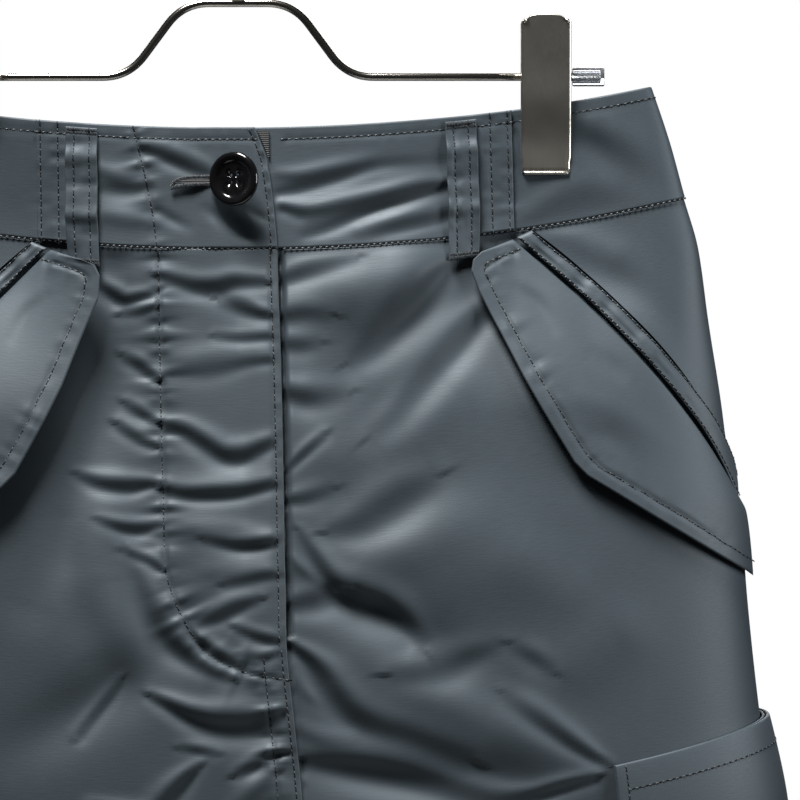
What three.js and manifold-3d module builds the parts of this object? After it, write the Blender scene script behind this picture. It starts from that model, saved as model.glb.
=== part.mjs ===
// Cargo utility skirt hanging from a metal clip hanger.
// Millimetres. +X is the right side seen from the front, +Y points away from the viewer, +Z is up.
// The origin is where a rail carries the hook: the inner top of the hook's bow.
import * as THREE from "three";
import Module from "manifold-3d";

const wasm = await Module();
wasm.setup();
const DEGREE = Math.PI / 180;

// Driving sizes of the skirt, measured down from the centre front of the waist edge.
const BAND_DROP = 51; // depth of the waistband
const SKIRT_DROP = 600; // waist edge to hem
const SEAM_GAP = 0.3; // space kept between neighbouring pieces
const CLOTH = 1.2; // wall of a single panel
const BAND_INNER = -0.9; // the doubled band, inside and outside the panels' face
const BAND_OUTER = 0.6;
const LAP_RISE = 1.8; // how far an upper layer stands over the one below it
const SKIRT_TILT = 1.3 * DEGREE; // the right clip holds its side a little higher
const CENTRE_FRONT = { x: 17.6, z: -126.4 }; // the waist edge at centre front, from the hook

// Outline of the hanging skirt: half width, half depth and radius of the side fold at each height.
const OUTLINE = [
  { height: 16, halfWidth: 155, halfDepth: 8, sideRadius: 2.6 },
  { height: -11, halfWidth: 163.3, halfDepth: 10, sideRadius: 3 },
  { height: -32, halfWidth: 168.5, halfDepth: 12, sideRadius: 3.6 },
  { height: -55, halfWidth: 174.5, halfDepth: 15, sideRadius: 4.6 },
  { height: -85, halfWidth: 178, halfDepth: 20, sideRadius: 6.5 },
  { height: -118, halfWidth: 182.4, halfDepth: 26, sideRadius: 9 },
  { height: -143, halfWidth: 185.2, halfDepth: 30, sideRadius: 11 },
  { height: -167, halfWidth: 189.7, halfDepth: 34, sideRadius: 13 },
  { height: -203, halfWidth: 191.8, halfDepth: 39, sideRadius: 16 },
  { height: -248, halfWidth: 195.6, halfDepth: 43, sideRadius: 19 },
  { height: -287, halfWidth: 200.5, halfDepth: 46, sideRadius: 21 },
  { height: -400, halfWidth: 207, halfDepth: 50, sideRadius: 24 },
  { height: -500, halfWidth: 212, halfDepth: 53, sideRadius: 25 },
  { height: -610, halfWidth: 217, halfDepth: 56, sideRadius: 26 },
];

// How much higher the side seams hang than the centres, by distance down the cloth.
const SAG = [
  { drop: 0, rise: 13.7 },
  { drop: 51, rise: 17.6 },
  { drop: 270, rise: 15.5 },
  { drop: 600, rise: 10 },
];

// The largest folds: side +1 front or -1 back, middle of the fold, its length, its half width,
// its lean from upright towards +X at the top, and its height out of the cloth.
const FOLDS = [
  { side: 1, across: 34, down: 66, long: 120, wide: 12, lean: 74, high: 3.2 },
  { side: 1, across: 50, down: 84, long: 96, wide: 9, lean: 50, high: -2.6 },
  { side: 1, across: 54, down: 108, long: 100, wide: 10, lean: 45, high: -2.8 },
  { side: 1, across: 50, down: 176, long: 110, wide: 13, lean: 68, high: 3 },
  { side: 1, across: 30, down: 203, long: 90, wide: 9, lean: -66, high: -3.4 },
  { side: 1, across: 78, down: 246, long: 150, wide: 14, lean: -64, high: 3.4 },
  { side: 1, across: 52, down: 272, long: 150, wide: 11, lean: -84, high: -4 },
  { side: 1, across: -78, down: 236, long: 130, wide: 13, lean: 60, high: -3.4 },
  { side: 1, across: 26, down: 520, long: 330, wide: 24, lean: 3, high: -8 },
  { side: 1, across: 84, down: 545, long: 330, wide: 27, lean: -2, high: 8.5 },
  { side: 1, across: -48, down: 540, long: 330, wide: 27, lean: -3, high: 8.5 },
  { side: 1, across: -108, down: 560, long: 280, wide: 22, lean: 4, high: -6.5 },
  { side: 1, across: 142, down: 570, long: 240, wide: 20, lean: -4, high: -5.5 },
  { side: -1, across: 70, down: 520, long: 340, wide: 28, lean: 3, high: 8.5 },
  { side: -1, across: 8, down: 540, long: 320, wide: 24, lean: -2, high: -7.5 },
  { side: -1, across: -64, down: 530, long: 330, wide: 27, lean: -3, high: 8.5 },
  { side: -1, across: -128, down: 560, long: 260, wide: 22, lean: 3, high: -6 },
  { side: -1, across: 130, down: 560, long: 260, wide: 22, lean: -3, high: -6 },
  { side: -1, across: 52, down: 150, long: 170, wide: 20, lean: 40, high: 4 },
  { side: -1, across: -58, down: 160, long: 180, wide: 20, lean: -42, high: 4 },
];

// The hanger's clips pinch front and back together here, measured across the skirt.
const CLIP_WIDE = 21;
const PINCHES = [{ across: 111.7 }, { across: -130 }];
const PINCH_FLAT = CLIP_WIDE / 2 + 3; // half width that lies flat under a jaw
const PINCH_FADE = 54; // distance over which the cloth opens again
const PINCH_BOTTOM = -26; // the flat part ends here and fades out lower down
const PINCH_FADE_DOWN = 96;
const PINCH_HALF = 1.6; // half depth left under the jaws

// Rows of the panels, as distances down the cloth, and columns of a quarter of the skirt.
const UPPER_DROPS = [51.15, 71, 91, 111, 131, 147, 163];
const FRONT_DROPS = [178, 194, 210, 227, 244, 261, 279, 300, 325, 355, 390, 430, 475, 520, 560, SKIRT_DROP];
const BACK_DROPS = [195, 230, 270, 315, 365, 420, 475, 530, SKIRT_DROP];
const QUARTER_COLUMNS = 15;

// Value of a column of a table at a place between its rows.
function between(table, key, at, column) {
  const falling = table[0][key] > table[table.length - 1][key];
  const rows = falling ? [...table].reverse() : table;
  if (at <= rows[0][key]) return rows[0][column];
  for (let i = 1; i < rows.length; i++) {
    if (at > rows[i][key]) continue;
    const share = (at - rows[i - 1][key]) / (rows[i][key] - rows[i - 1][key]);
    return THREE.MathUtils.lerp(rows[i - 1][column], rows[i][column], share);
  }
  return rows[rows.length - 1][column];
}

const rise = (drop) => between(SAG, "drop", drop, "rise");
const halfWidth = (height) => between(OUTLINE, "height", height, "halfWidth");

// 1 under a clip's jaws, falling to 0 where the cloth hangs free.
function pinchAt(across, height) {
  const down = 1 - THREE.MathUtils.smoothstep(PINCH_BOTTOM - height, 0, PINCH_FADE_DOWN);
  const held = PINCHES.map((clip) => {
    const away = Math.abs(across - clip.across) - PINCH_FLAT;
    return 1 - THREE.MathUtils.smoothstep(away, 0, PINCH_FADE);
  });
  return Math.max(...held) * down;
}

// How far the folds push the cloth out at a place of the front or back.
function foldAt(side, across, down) {
  let out = 0;
  for (const fold of FOLDS) {
    if (fold.side !== side) continue;
    const lean = fold.lean * DEGREE;
    const dx = across - fold.across;
    const dz = fold.down - down;
    const along = dx * Math.sin(lean) + dz * Math.cos(lean);
    const aside = dx * Math.cos(lean) - dz * Math.sin(lean);
    const ends = Math.max(0, 1 - (2 * along / fold.long) ** 2);
    out += fold.high * ends ** 2 * Math.exp(-((aside / fold.wide) ** 2));
  }
  return out;
}

// Point of the skirt's face: angle 0 at centre front, 90 degrees at the +X side seam, 180 at the back.
function face(angle, drop) {
  const across = Math.sin(angle * DEGREE);
  const facing = Math.cos(angle * DEGREE);
  const height = -drop + rise(drop) * across * across;
  const wide = halfWidth(height);
  const deep = between(OUTLINE, "height", height, "halfDepth");
  const radius = between(OUTLINE, "height", height, "sideRadius");
  const x = wide * across;
  const fromSide = wide * (1 - Math.abs(across));
  const open = deep * Math.sqrt(1 - Math.exp((-2 * radius * fromSide) / (deep * deep)));
  const pinch = pinchAt(x, height);
  const side = facing >= 0 ? 1 : -1;
  const fold = foldAt(side, x, -height) * Math.min(1, facing * facing * 3) * (1 - pinch);
  const shut = PINCH_HALF * Math.tanh(open / PINCH_HALF);
  const half = THREE.MathUtils.lerp(open, shut, pinch) + fold;
  return new THREE.Vector3(x, -side * half, height);
}

// The same point moved out of the cloth along its normal.
function cloth(angle, drop, lift) {
  const step = 0.4;
  const along = face(angle + step, drop).sub(face(angle - step, drop));
  const down = face(angle, drop + 1).sub(face(angle, drop - 1));
  const normal = new THREE.Vector3().crossVectors(down, along).normalize();
  return face(angle, drop).addScaledVector(normal, lift);
}

// Angle and drop of the cloth at a place given by its distance across and down, seen from the front.
function seenAt(across, down) {
  const wide = halfWidth(-down);
  const share = THREE.MathUtils.clamp(across / wide, -0.9986, 0.9986);
  const angle = Math.asin(share) / DEGREE;
  let drop = down;
  for (let i = 0; i < 4; i++) drop = down + rise(drop) * share * share;
  return { angle, drop };
}

const angleAt = (across, drop) => {
  const wide = halfWidth(-drop + rise(drop) * (across / 170) ** 2);
  return Math.asin(THREE.MathUtils.clamp(across / wide, -1, 1)) / DEGREE;
};

// A solid from its points and faces, turned the right way out.
function solid(points, triangles) {
  let volume = 0;
  for (const [a, b, c] of triangles)
    volume += points[a].dot(new THREE.Vector3().crossVectors(points[b], points[c]));
  const faces = volume < 0 ? triangles.map(([a, b, c]) => [a, c, b]) : triangles;
  const geometry = new THREE.BufferGeometry().setFromPoints(points);
  geometry.setIndex(faces.flat());
  return geometry;
}

// A closed wall over a grid of rows and columns: place gives each grid point's outer and inner point.
function wall(rows, columns, place) {
  const points = [];
  for (const layer of ["outer", "inner"])
    for (let r = 0; r < rows; r++)
      for (let c = 0; c < columns; c++) points.push(place(r, c)[layer]);
  const at = (layer, r, c) => layer * rows * columns + r * columns + c;
  const triangles = [];
  const quad = (a, b, c, d) => triangles.push([a, b, c], [a, c, d]);
  for (let r = 0; r + 1 < rows; r++)
    for (let c = 0; c + 1 < columns; c++) {
      quad(at(0, r, c), at(0, r, c + 1), at(0, r + 1, c + 1), at(0, r + 1, c));
      quad(at(1, r, c), at(1, r + 1, c), at(1, r + 1, c + 1), at(1, r, c + 1));
    }
  for (let c = 0; c + 1 < columns; c++) {
    quad(at(0, 0, c + 1), at(0, 0, c), at(1, 0, c), at(1, 0, c + 1));
    quad(at(0, rows - 1, c), at(0, rows - 1, c + 1), at(1, rows - 1, c + 1), at(1, rows - 1, c));
  }
  for (let r = 0; r + 1 < rows; r++) {
    quad(at(0, r, 0), at(0, r + 1, 0), at(1, r + 1, 0), at(1, r, 0));
    quad(at(0, r + 1, columns - 1), at(0, r, columns - 1), at(1, r, columns - 1), at(1, r + 1, columns - 1));
  }
  return solid(points, triangles);
}

// A wall of cloth: place gives angle, drop and the lifts of its outer and inner face.
function clothWall(rows, columns, place) {
  return wall(rows, columns, (r, c) => {
    const { angle, drop, outer, inner } = place(r, c);
    return { outer: cloth(angle, drop, outer), inner: cloth(angle, drop, inner) };
  });
}

// Half a seam gap as an angle: across the front or back, and on the side fold.
const gapAngle = (drop) => SEAM_GAP / 2 / (halfWidth(-drop) * DEGREE);
function sideGap(drop) {
  const height = -drop + rise(drop);
  const radius = between(OUTLINE, "height", height, "sideRadius");
  return SEAM_GAP / 2 / Math.sqrt(radius * halfWidth(height)) / DEGREE;
}

// Materials, one for each finish.
const finish = (color, roughness, metalness) =>
  new THREE.MeshStandardMaterial({ color, roughness, metalness });
const SATIN = finish(0x5f676d, 0.45, 0);
const BLACK_TAPE = finish(0x15171a, 0.8, 0);
const HORN = finish(0x08080a, 0.12, 0);
const THREAD = finish(0x2b3036, 0.7, 0);
const BRUSHED = finish(0x7d776c, 0.35, 1);
const WIRE = finish(0xb9b4a6, 0.18, 1);
const CLEAR = finish(0xdfe6ee, 0.08, 0);

const skirt = new THREE.Group();
const hanger = new THREE.Group();
function add(group, name, geometry, material) {
  const mesh = new THREE.Mesh(geometry, material);
  mesh.name = name;
  group.add(mesh);
  return mesh;
}

// The slanted hip pocket: where its opening runs over the front, from the waist seam to the side seam.
const SLASH = [
  { drop: BAND_DROP, angle: 36.7 },
  { drop: 91, angle: 53.3 },
  { drop: 131, angle: 70.6 },
  { drop: 163, angle: 90 },
];
const slashAngle = (drop) => between(SLASH, "drop", drop, "angle");

// The folded edge of the upper front, across the skirt: the slanted end of the band, the fly
// and the centre seam.
const CENTRE_EDGE = [
  { drop: 0, across: -10.5 },
  { drop: 14.6, across: -5.4 },
  { drop: 43.6, across: -2.3 },
  { drop: 51, across: -2 },
  { drop: 126, across: -1.3 },
  { drop: 212, across: -1.5 },
  { drop: 252, across: 1.4 },
  { drop: 282, across: 3.7 },
  { drop: 330, across: 6.5 },
  { drop: 600, across: 9 },
];
const CENTRE_LAP = 8.5; // how far the lower front reaches under that edge
const LAP_RUN = 8.5; // cloth over which the raised edge comes down again
const LAP_LEVEL = 12; // first column past the lap on the lower front
const SIDE_START = 163; // drop at which the pocket opening meets the side seam
const centreEdge = (drop) => between(CENTRE_EDGE, "drop", drop, "across");

// Front panels run from the centre lap to the pocket opening, and below it to the side seam.
function frontPanel(handed) {
  const drops = [...UPPER_DROPS, ...FRONT_DROPS];
  return clothWall(drops.length, QUARTER_COLUMNS + 3, (r, c) => {
    const drop = drops[r];
    const edge = centreEdge(drop);
    const reach = drop < SIDE_START ? slashAngle(drop) - gapAngle(drop) : 90 - sideGap(drop);
    const under = [edge - CENTRE_LAP, edge, edge + LAP_LEVEL];
    const over = [edge, edge - CENTRE_LAP, edge - CENTRE_LAP - LAP_RUN];
    const lapColumns = handed > 0 ? under : over;
    const starts = lapColumns.map((across) => angleAt(across, drop));
    const share = (c - 2) / QUARTER_COLUMNS;
    const angle = c < 3 ? starts[c] : THREE.MathUtils.lerp(starts[2], handed * reach, share);
    const up = handed < 0 && c < 2 ? LAP_RISE : 0;
    return { angle, drop, outer: up, inner: up - CLOTH };
  });
}
add(skirt, "front_left", frontPanel(1), SATIN);
add(skirt, "front_right", frontPanel(-1), SATIN);

// The hip piece fills the corner between the pocket opening, the side seam and the waistband.
const HIP_SET_BACK = 0.45; // degrees between the two edges, under the welt
const HIP_END = 157; // drop of its lower point
function hipPiece(handed) {
  const drops = [...UPPER_DROPS.slice(0, -1), HIP_END];
  return clothWall(drops.length, 6, (r, c) => {
    const drop = drops[r];
    const start = slashAngle(drop) + HIP_SET_BACK;
    const angle = THREE.MathUtils.lerp(start, 90 - sideGap(drop), c / 5);
    return { angle: handed * angle, drop, outer: 0, inner: -CLOTH };
  });
}
add(skirt, "hip_piece_left", hipPiece(1), SATIN);
add(skirt, "hip_piece_right", hipPiece(-1), SATIN);

// Back panels run from the centre back seam to the side seams.
function backPanel(handed) {
  const drops = [...UPPER_DROPS, ...BACK_DROPS];
  return clothWall(drops.length, QUARTER_COLUMNS + 1, (r, c) => {
    const drop = drops[r];
    const share = c / QUARTER_COLUMNS;
    const angle = THREE.MathUtils.lerp(90 + sideGap(drop), 180 - gapAngle(drop), share);
    return { angle: handed * angle, drop, outer: 0, inner: -CLOTH };
  });
}
add(skirt, "back_left", backPanel(1), SATIN);
add(skirt, "back_right", backPanel(-1), SATIN);

// Waistband. The right front laps over the left at the button, and both lap over the back band at the sides.
const BAND_DROPS = [0, 14.6, 29, 43.6, BAND_DROP - SEAM_GAP / 2];
const SIDE_LAP = {
  left: { edge: 97.4, under: 88.5, raised: 86, level: 76 },
  right: { edge: 102.2, under: 93, raised: 90.5, level: 80 },
};
const UNDERLAP = 26; // how far the left front band reaches under the buttoned end
const OVER_BUTTON = 38; // the right front band lies level again from here
const lapOf = (handed) => (handed > 0 ? SIDE_LAP.left : SIDE_LAP.right);
const stepUp = (value, start, end) => THREE.MathUtils.smoothstep(value, start, end);

// How far the front band stands up where it laps over another layer.
function bandUp(handed, across) {
  const lap = lapOf(handed);
  const overButton = handed < 0 ? 1 - stepUp(across, UNDERLAP + 1, OVER_BUTTON) : 0;
  return LAP_RISE * Math.max(overButton, stepUp(across, lap.level, lap.raised));
}
function frontBand(handed) {
  const lap = lapOf(handed);
  return clothWall(BAND_DROPS.length, 13, (r, c) => {
    const drop = BAND_DROPS[r];
    const start = handed > 0 ? [-UNDERLAP, -14, 0, 14, 27] : [-centreEdge(drop), 14, 20, 27, OVER_BUTTON];
    const end = [lap.level, (lap.level + lap.raised) / 2, lap.raised, lap.edge];
    const across = [...start, 42, 52, 61, 69, ...end][c];
    const up = bandUp(handed, across);
    return { angle: handed * angleAt(across, drop), drop, outer: BAND_OUTER + up, inner: BAND_INNER + up };
  });
}
add(skirt, "waistband_front_left", frontBand(1), SATIN);
add(skirt, "waistband_front_right", frontBand(-1), SATIN);

function backBand(handed) {
  const lap = lapOf(handed);
  const across = [lap.under, lap.edge, 104, 110, 116, 122, 128, 134, 140];
  const folded = [63, 68, 73, 78, 83, 87, 90, 93, 97, 102, 107];
  const back = [112, 117, 122, 127, 132, 137, 142, 148, 155, 163, 171];
  const count = across.length + folded.length + back.length + 1;
  return clothWall(BAND_DROPS.length, count, (r, c) => {
    const drop = BAND_DROPS[r];
    const turned = [...folded, ...back, 180 - gapAngle(drop)];
    const angle = c < across.length ? angleAt(across[c], drop) : turned[c - across.length];
    return { angle: handed * angle, drop, outer: BAND_OUTER, inner: BAND_INNER };
  });
}
add(skirt, "waistband_back_left", backBand(1), SATIN);
add(skirt, "waistband_back_right", backBand(-1), SATIN);

// Belt loops: strips sewn down at both ends that stand off the band between.
const LOOP = { wide: 13, top: 2, bottom: 60.5, seat: 0.55, stand: 1.5, wall: 1.1 };
const LOOPS = [
  { name: "belt_loop_front_left", across: 75.5, back: false },
  { name: "belt_loop_front_right", across: -82.6, back: false },
  { name: "belt_loop_back_left", across: 66, back: true },
  { name: "belt_loop_back_right", across: -66, back: true },
  { name: "belt_loop_centre_back", across: 0, back: true },
];
function beltLoop({ across, back }) {
  const shares = [0, 0.1, 0.25, 0.5, 0.75, 0.84, 1];
  return clothWall(shares.length, 5, (r, c) => {
    const share = shares[r];
    const drop = THREE.MathUtils.lerp(LOOP.top, LOOP.bottom, share);
    const place = across + (c / 4 - 0.5) * LOOP.wide;
    const seen = angleAt(place, drop);
    const onBand = back ? 0 : bandUp(Math.sign(across), Math.abs(place));
    const seat = BAND_OUTER + LOOP.seat + onBand * (1 - stepUp(share, 0.75, 1));
    const inner = seat + LOOP.stand * Math.sin(Math.PI * share);
    return { angle: back ? 180 - seen : seen, drop, outer: inner + LOOP.wall, inner };
  });
}
for (const loop of LOOPS) add(skirt, loop.name, beltLoop(loop), SATIN);

// Hip pocket: a welt along the opening, and a pointed flap that hangs from it. Places seen from the front.
const WELT_INNER = [
  { step: 0, across: 98.3, down: 48.6 },
  { step: 0.3, across: 133, down: 81.5 },
  { step: 0.58, across: 159, down: 111 },
  { step: 0.8, across: 176.3, down: 136 },
  { step: 1, across: 187, down: 160 },
];
const WELT_OUTER = [
  { step: 0, across: 104.6, down: 45.8 },
  { step: 0.3, across: 141.5, down: 79.4 },
  { step: 0.58, across: 165, down: 107 },
  { step: 0.8, across: 180, down: 130 },
  { step: 1, across: 187, down: 149 },
];
const FLAP_SEWN = [
  { step: 0, across: 96.6, down: 49.5 },
  { step: 0.3, across: 131.5, down: 82.8 },
  { step: 0.58, across: 157.6, down: 112.3 },
  { step: 0.8, across: 175, down: 137.3 },
  { step: 1, across: 190, down: 166 },
];
const FLAP_FREE = [
  { step: 0, across: 82, down: 55 },
  { step: 0.04, across: 78.2, down: 58.4 },
  { step: 0.09, across: 77.6, down: 63.2 },
  { step: 0.16, across: 81.5, down: 73.4 },
  { step: 0.36, across: 100, down: 110 },
  { step: 0.56, across: 119.4, down: 144 },
  { step: 0.62, across: 124.5, down: 149.5 },
  { step: 0.8, across: 151, down: 166.5 },
  { step: 1, across: 192, down: 192.5 },
];
const alongTable = (table, step) =>
  seenAt(between(table, "step", step, "across"), between(table, "step", step, "down"));

// A strip of cloth lying on the front between two edges, given by tables that share their steps.
function strip(handed, steps, columns, from, to, lifts) {
  return clothWall(steps.length, columns, (r, c) => {
    const start = alongTable(from, steps[r]);
    const end = alongTable(to, steps[r]);
    const share = c / (columns - 1);
    const angle = handed * THREE.MathUtils.lerp(start.angle, end.angle, share);
    const drop = THREE.MathUtils.lerp(start.drop, end.drop, share);
    return { angle, drop, ...lifts(share, steps[r]) };
  });
}
const WELT_STEPS = Array.from({ length: 13 }, (_, i) => i / 12);
const FLAP_STEPS = [0, 0.04, 0.09, 0.16, 0.23, 0.29, 0.36, 0.43, 0.5, 0.56, 0.62, 0.71, 0.8, 0.87, 0.94, 1];
const WELT = { inner: 1.4, outer: 2.5 };
const HIP_FLAP = { sewnLift: 1.1, stand: 3.4, wall: 1.5 };
const weltLifts = () => WELT;
const flapLifts = (share) => {
  const inner = HIP_FLAP.sewnLift + HIP_FLAP.stand * share ** 0.6;
  return { outer: inner + HIP_FLAP.wall, inner };
};
for (const [hand, handed] of [["left", 1], ["right", -1]]) {
  add(skirt, `hip_welt_${hand}`, strip(handed, WELT_STEPS, 3, WELT_INNER, WELT_OUTER, weltLifts), SATIN);
  add(skirt, `hip_flap_${hand}`, strip(handed, FLAP_STEPS, 7, FLAP_SEWN, FLAP_FREE, flapLifts), SATIN);
}

// Cargo pocket over each side seam, and its flap.
const CARGO = { front: 42, columns: 16, top: 276, sideTop: 266, body: 178, flap: 62, point: 12 };
const POCKET = { lift: 0.7, bulge: 2.6 };
const CARGO_FLAP = { lift: 2.4, stand: 3.2, wall: 1.5 };
function cargoTop(angle) {
  const share = (90 - angle) / (90 - CARGO.front);
  return CARGO.sideTop + (CARGO.top - CARGO.sideTop) * share;
}
function cargoPiece(handed, rows, depthAt, lifts) {
  return clothWall(rows + 1, CARGO.columns + 1, (r, c) => {
    const share = c / CARGO.columns;
    const angle = THREE.MathUtils.lerp(CARGO.front, 180 - CARGO.front, share);
    const drop = cargoTop(angle) + depthAt(share) * (r / rows);
    return { angle: handed * angle, drop, ...lifts(share, r / rows) };
  });
}
const edgeBulge = (share) => Math.sin(Math.PI * share) ** 0.5;
const pocketLifts = (share, depth) => {
  const hollow = Math.sin(Math.PI * Math.min(1, depth * 1.02)) ** 0.7;
  const inner = POCKET.lift + POCKET.bulge * edgeBulge(share) * hollow;
  return { outer: inner + CLOTH, inner };
};
const flapTopLifts = (share, depth) => {
  const inner = CARGO_FLAP.lift + CARGO_FLAP.stand * Math.sin((Math.PI / 2) * depth) ** 0.7;
  return { outer: inner + CARGO_FLAP.wall, inner };
};
const flapDepth = (share) => CARGO.flap + CARGO.point * (1 - Math.abs(2 * share - 1));
for (const [hand, handed] of [["left", 1], ["right", -1]]) {
  add(skirt, `cargo_pocket_${hand}`, cargoPiece(handed, 7, () => CARGO.body, pocketLifts), SATIN);
  add(skirt, `cargo_flap_${hand}`, cargoPiece(handed, 3, flapDepth, flapTopLifts), SATIN);
}

// Ribbed tape that shows beside the slanted end of the upper band.
const TAPE = { edge: -4.4, top: 1.5, bottom: 13, beside: 0.5 };
const tape = clothWall(3, 2, (r, c) => {
  const drop = THREE.MathUtils.lerp(TAPE.top, TAPE.bottom, r / 2);
  const angle = angleAt(c ? centreEdge(drop) + TAPE.beside : TAPE.edge, drop);
  return { angle, drop, outer: BAND_OUTER + 1.2, inner: BAND_OUTER + SEAM_GAP };
});
add(skirt, "waist_tape", tape, BLACK_TAPE);

// The sewn button: a dished disc with four holes on a thread shank.
const BUTTON = {
  across: -18.6, down: 21.8, radius: 11.6, thick: 3.6, rim: 3.4, dish: 1.5, turn: 26 * DEGREE,
  holeRadius: 0.85, holeApart: 1.5,
};
const SHANK = { radius: 1.9, long: 4.1, gap: 1.5 };
function manifoldOf(geometry) {
  const loose = geometry.index ? geometry.toNonIndexed() : geometry;
  const corners = loose.getAttribute("position");
  const places = new Map();
  const points = [];
  const triVerts = [];
  for (let i = 0; i < corners.count; i++) {
    const place = [corners.getX(i), corners.getY(i), corners.getZ(i)];
    const key = place.map((v) => Math.round(v * 1e4) || 0).join();
    if (!places.has(key)) {
      places.set(key, points.length / 3);
      points.push(...place);
    }
    triVerts.push(places.get(key));
  }
  const kept = [];
  for (let i = 0; i < triVerts.length; i += 3) {
    const [a, b, c] = triVerts.slice(i, i + 3);
    if (a !== b && b !== c && c !== a) kept.push(a, b, c);
  }
  const mesh = new wasm.Mesh({
    numProp: 3, vertProperties: new Float32Array(points), triVerts: new Uint32Array(kept),
  });
  return new wasm.Manifold(mesh);
}
function geometryOf(manifold) {
  const mesh = manifold.getMesh();
  const geometry = new THREE.BufferGeometry();
  geometry.setAttribute("position", new THREE.BufferAttribute(mesh.vertProperties, 3));
  geometry.setIndex(new THREE.BufferAttribute(mesh.triVerts, 1));
  return geometry;
}
function buttonBody() {
  const { radius, thick, rim, dish } = BUTTON;
  const profile = [
    [0, 0], [radius - 1.6, 0], [radius, thick * 0.45], [radius - 0.6, thick * 0.85],
    [radius - rim / 2, thick], [radius - rim, thick * 0.85], [radius - rim - 1.2, thick - dish],
    [0, thick - dish],
  ].map(([r, h]) => new THREE.Vector2(r, h));
  let body = manifoldOf(new THREE.LatheGeometry(profile, 28));
  const { holeRadius, holeApart } = BUTTON;
  for (const [x, y] of [[1, 1], [-1, 1], [1, -1], [-1, -1]]) {
    const hole = new THREE.CylinderGeometry(holeRadius, holeRadius, thick * 2, 10);
    hole.translate(x * holeApart, thick / 2, y * holeApart);
    body = body.subtract(manifoldOf(hole));
  }
  return geometryOf(body.rotate([180, 0, 0]));
}
const buttonPlace = seenAt(BUTTON.across, BUTTON.down);
const buttonFoot = cloth(buttonPlace.angle, buttonPlace.drop, BAND_OUTER + LAP_RISE + SEAM_GAP);
const shankBody = new THREE.CylinderGeometry(SHANK.radius, SHANK.radius, SHANK.long, 10);
const shank = add(skirt, "button_shank", shankBody, THREAD);
shank.position.set(buttonFoot.x, buttonFoot.y - SHANK.long / 2 - 0.2, buttonFoot.z);
const button = add(skirt, "button", buttonBody(), HORN);
button.rotation.z = -BUTTON.turn;
button.position.set(buttonFoot.x, buttonFoot.y - SHANK.long - SHANK.gap, buttonFoot.z);

skirt.rotation.y = -SKIRT_TILT;
skirt.position.set(CENTRE_FRONT.x, 0, CENTRE_FRONT.z);

// The hanger: a wire bar with a raised middle, a hook, two clips and clear caps on the wire's ends.
const WIRE_RADIUS = 1.7;
const BAR = { height: -105, half: 152, riseFoot: 46, riseTop: 23, riseHigh: 31, bend: 11 };
const HOOK = { bow: 20, stemTop: -50, tip: 195 };
const COLLAR = { radius: 3.6, high: 7 };

// A round bend between two straight runs, as a curve through their corner.
function bentPath(corners, bend) {
  const path = new THREE.CurvePath();
  let last = corners[0];
  for (let i = 1; i + 1 < corners.length; i++) {
    const before = corners[i].clone().add(corners[i - 1].clone().sub(corners[i]).setLength(bend));
    const after = corners[i].clone().add(corners[i + 1].clone().sub(corners[i]).setLength(bend));
    path.add(new THREE.LineCurve3(last, before));
    path.add(new THREE.QuadraticBezierCurve3(before, corners[i], after));
    last = after;
  }
  path.add(new THREE.LineCurve3(last, corners[corners.length - 1]));
  return path;
}
function roundSection(radius, sides) {
  const ring = Array.from({ length: sides }, (_, i) => {
    const turn = (i / sides) * 2 * Math.PI;
    return new THREE.Vector2(radius * Math.cos(turn), radius * Math.sin(turn));
  });
  return new THREE.Shape(ring);
}
const rod = (path, steps, radius) =>
  new THREE.ExtrudeGeometry(roundSection(radius, 8), { steps, extrudePath: path, bevelEnabled: false });

const barCorners = [
  [-BAR.half, 0], [-BAR.riseFoot, 0], [-BAR.riseTop, BAR.riseHigh],
  [BAR.riseTop, BAR.riseHigh], [BAR.riseFoot, 0], [BAR.half, 0],
].map(([x, up]) => new THREE.Vector3(x, 0, BAR.height + up));
add(hanger, "hanger_bar", rod(bentPath(barCorners, BAR.bend), 76, WIRE_RADIUS), WIRE);

const barTop = BAR.height + BAR.riseHigh + WIRE_RADIUS + SEAM_GAP;
const collarBody = new THREE.CylinderGeometry(COLLAR.radius, COLLAR.radius, COLLAR.high, 16);
const collar = add(hanger, "hanger_collar", collarBody, BRUSHED);
collar.rotation.x = Math.PI / 2;
collar.position.set(0, 0, barTop + COLLAR.high / 2);

// Hook: a straight stem that swings out to the bow, whose inner top is the origin.
const bowRadius = HOOK.bow + WIRE_RADIUS;
const bowPoint = (degrees) =>
  new THREE.Vector3(
    bowRadius * Math.cos(degrees * DEGREE), 0, -HOOK.bow + bowRadius * Math.sin(degrees * DEGREE));
const hookPoints = [
  new THREE.Vector3(0, 0, barTop + COLLAR.high + SEAM_GAP),
  new THREE.Vector3(0, 0, HOOK.stemTop - 4),
  new THREE.Vector3(5, 0, HOOK.stemTop + 6),
  ...[-40, -20, 0, 22.5, 45, 67.5, 90, 112.5, 135, 157.5, 180, HOOK.tip].map(bowPoint),
];
add(hanger, "hanger_hook", rod(new THREE.CatmullRomCurve3(hookPoints), 34, WIRE_RADIUS), WIRE);

const CAP = { inner: 2, outer: 4, floor: 1.5, depth: 12 };
for (const [hand, handed] of [["left", -1], ["right", 1]]) {
  const mouth = CAP.floor + CAP.depth;
  const profile = [
    [0, 0], [CAP.outer - 0.8, 0], [CAP.outer, 0.8], [CAP.outer, mouth], [CAP.inner, mouth],
    [CAP.inner, CAP.floor], [0, CAP.floor],
  ].map(([r, h]) => new THREE.Vector2(r, h));
  const cap = add(hanger, `end_cap_${hand}`, new THREE.LatheGeometry(profile, 16), CLEAR);
  cap.rotation.z = (handed * Math.PI) / 2;
  cap.position.set(handed * (BAR.half + CAP.floor + SEAM_GAP), 0, BAR.height);
}

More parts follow.
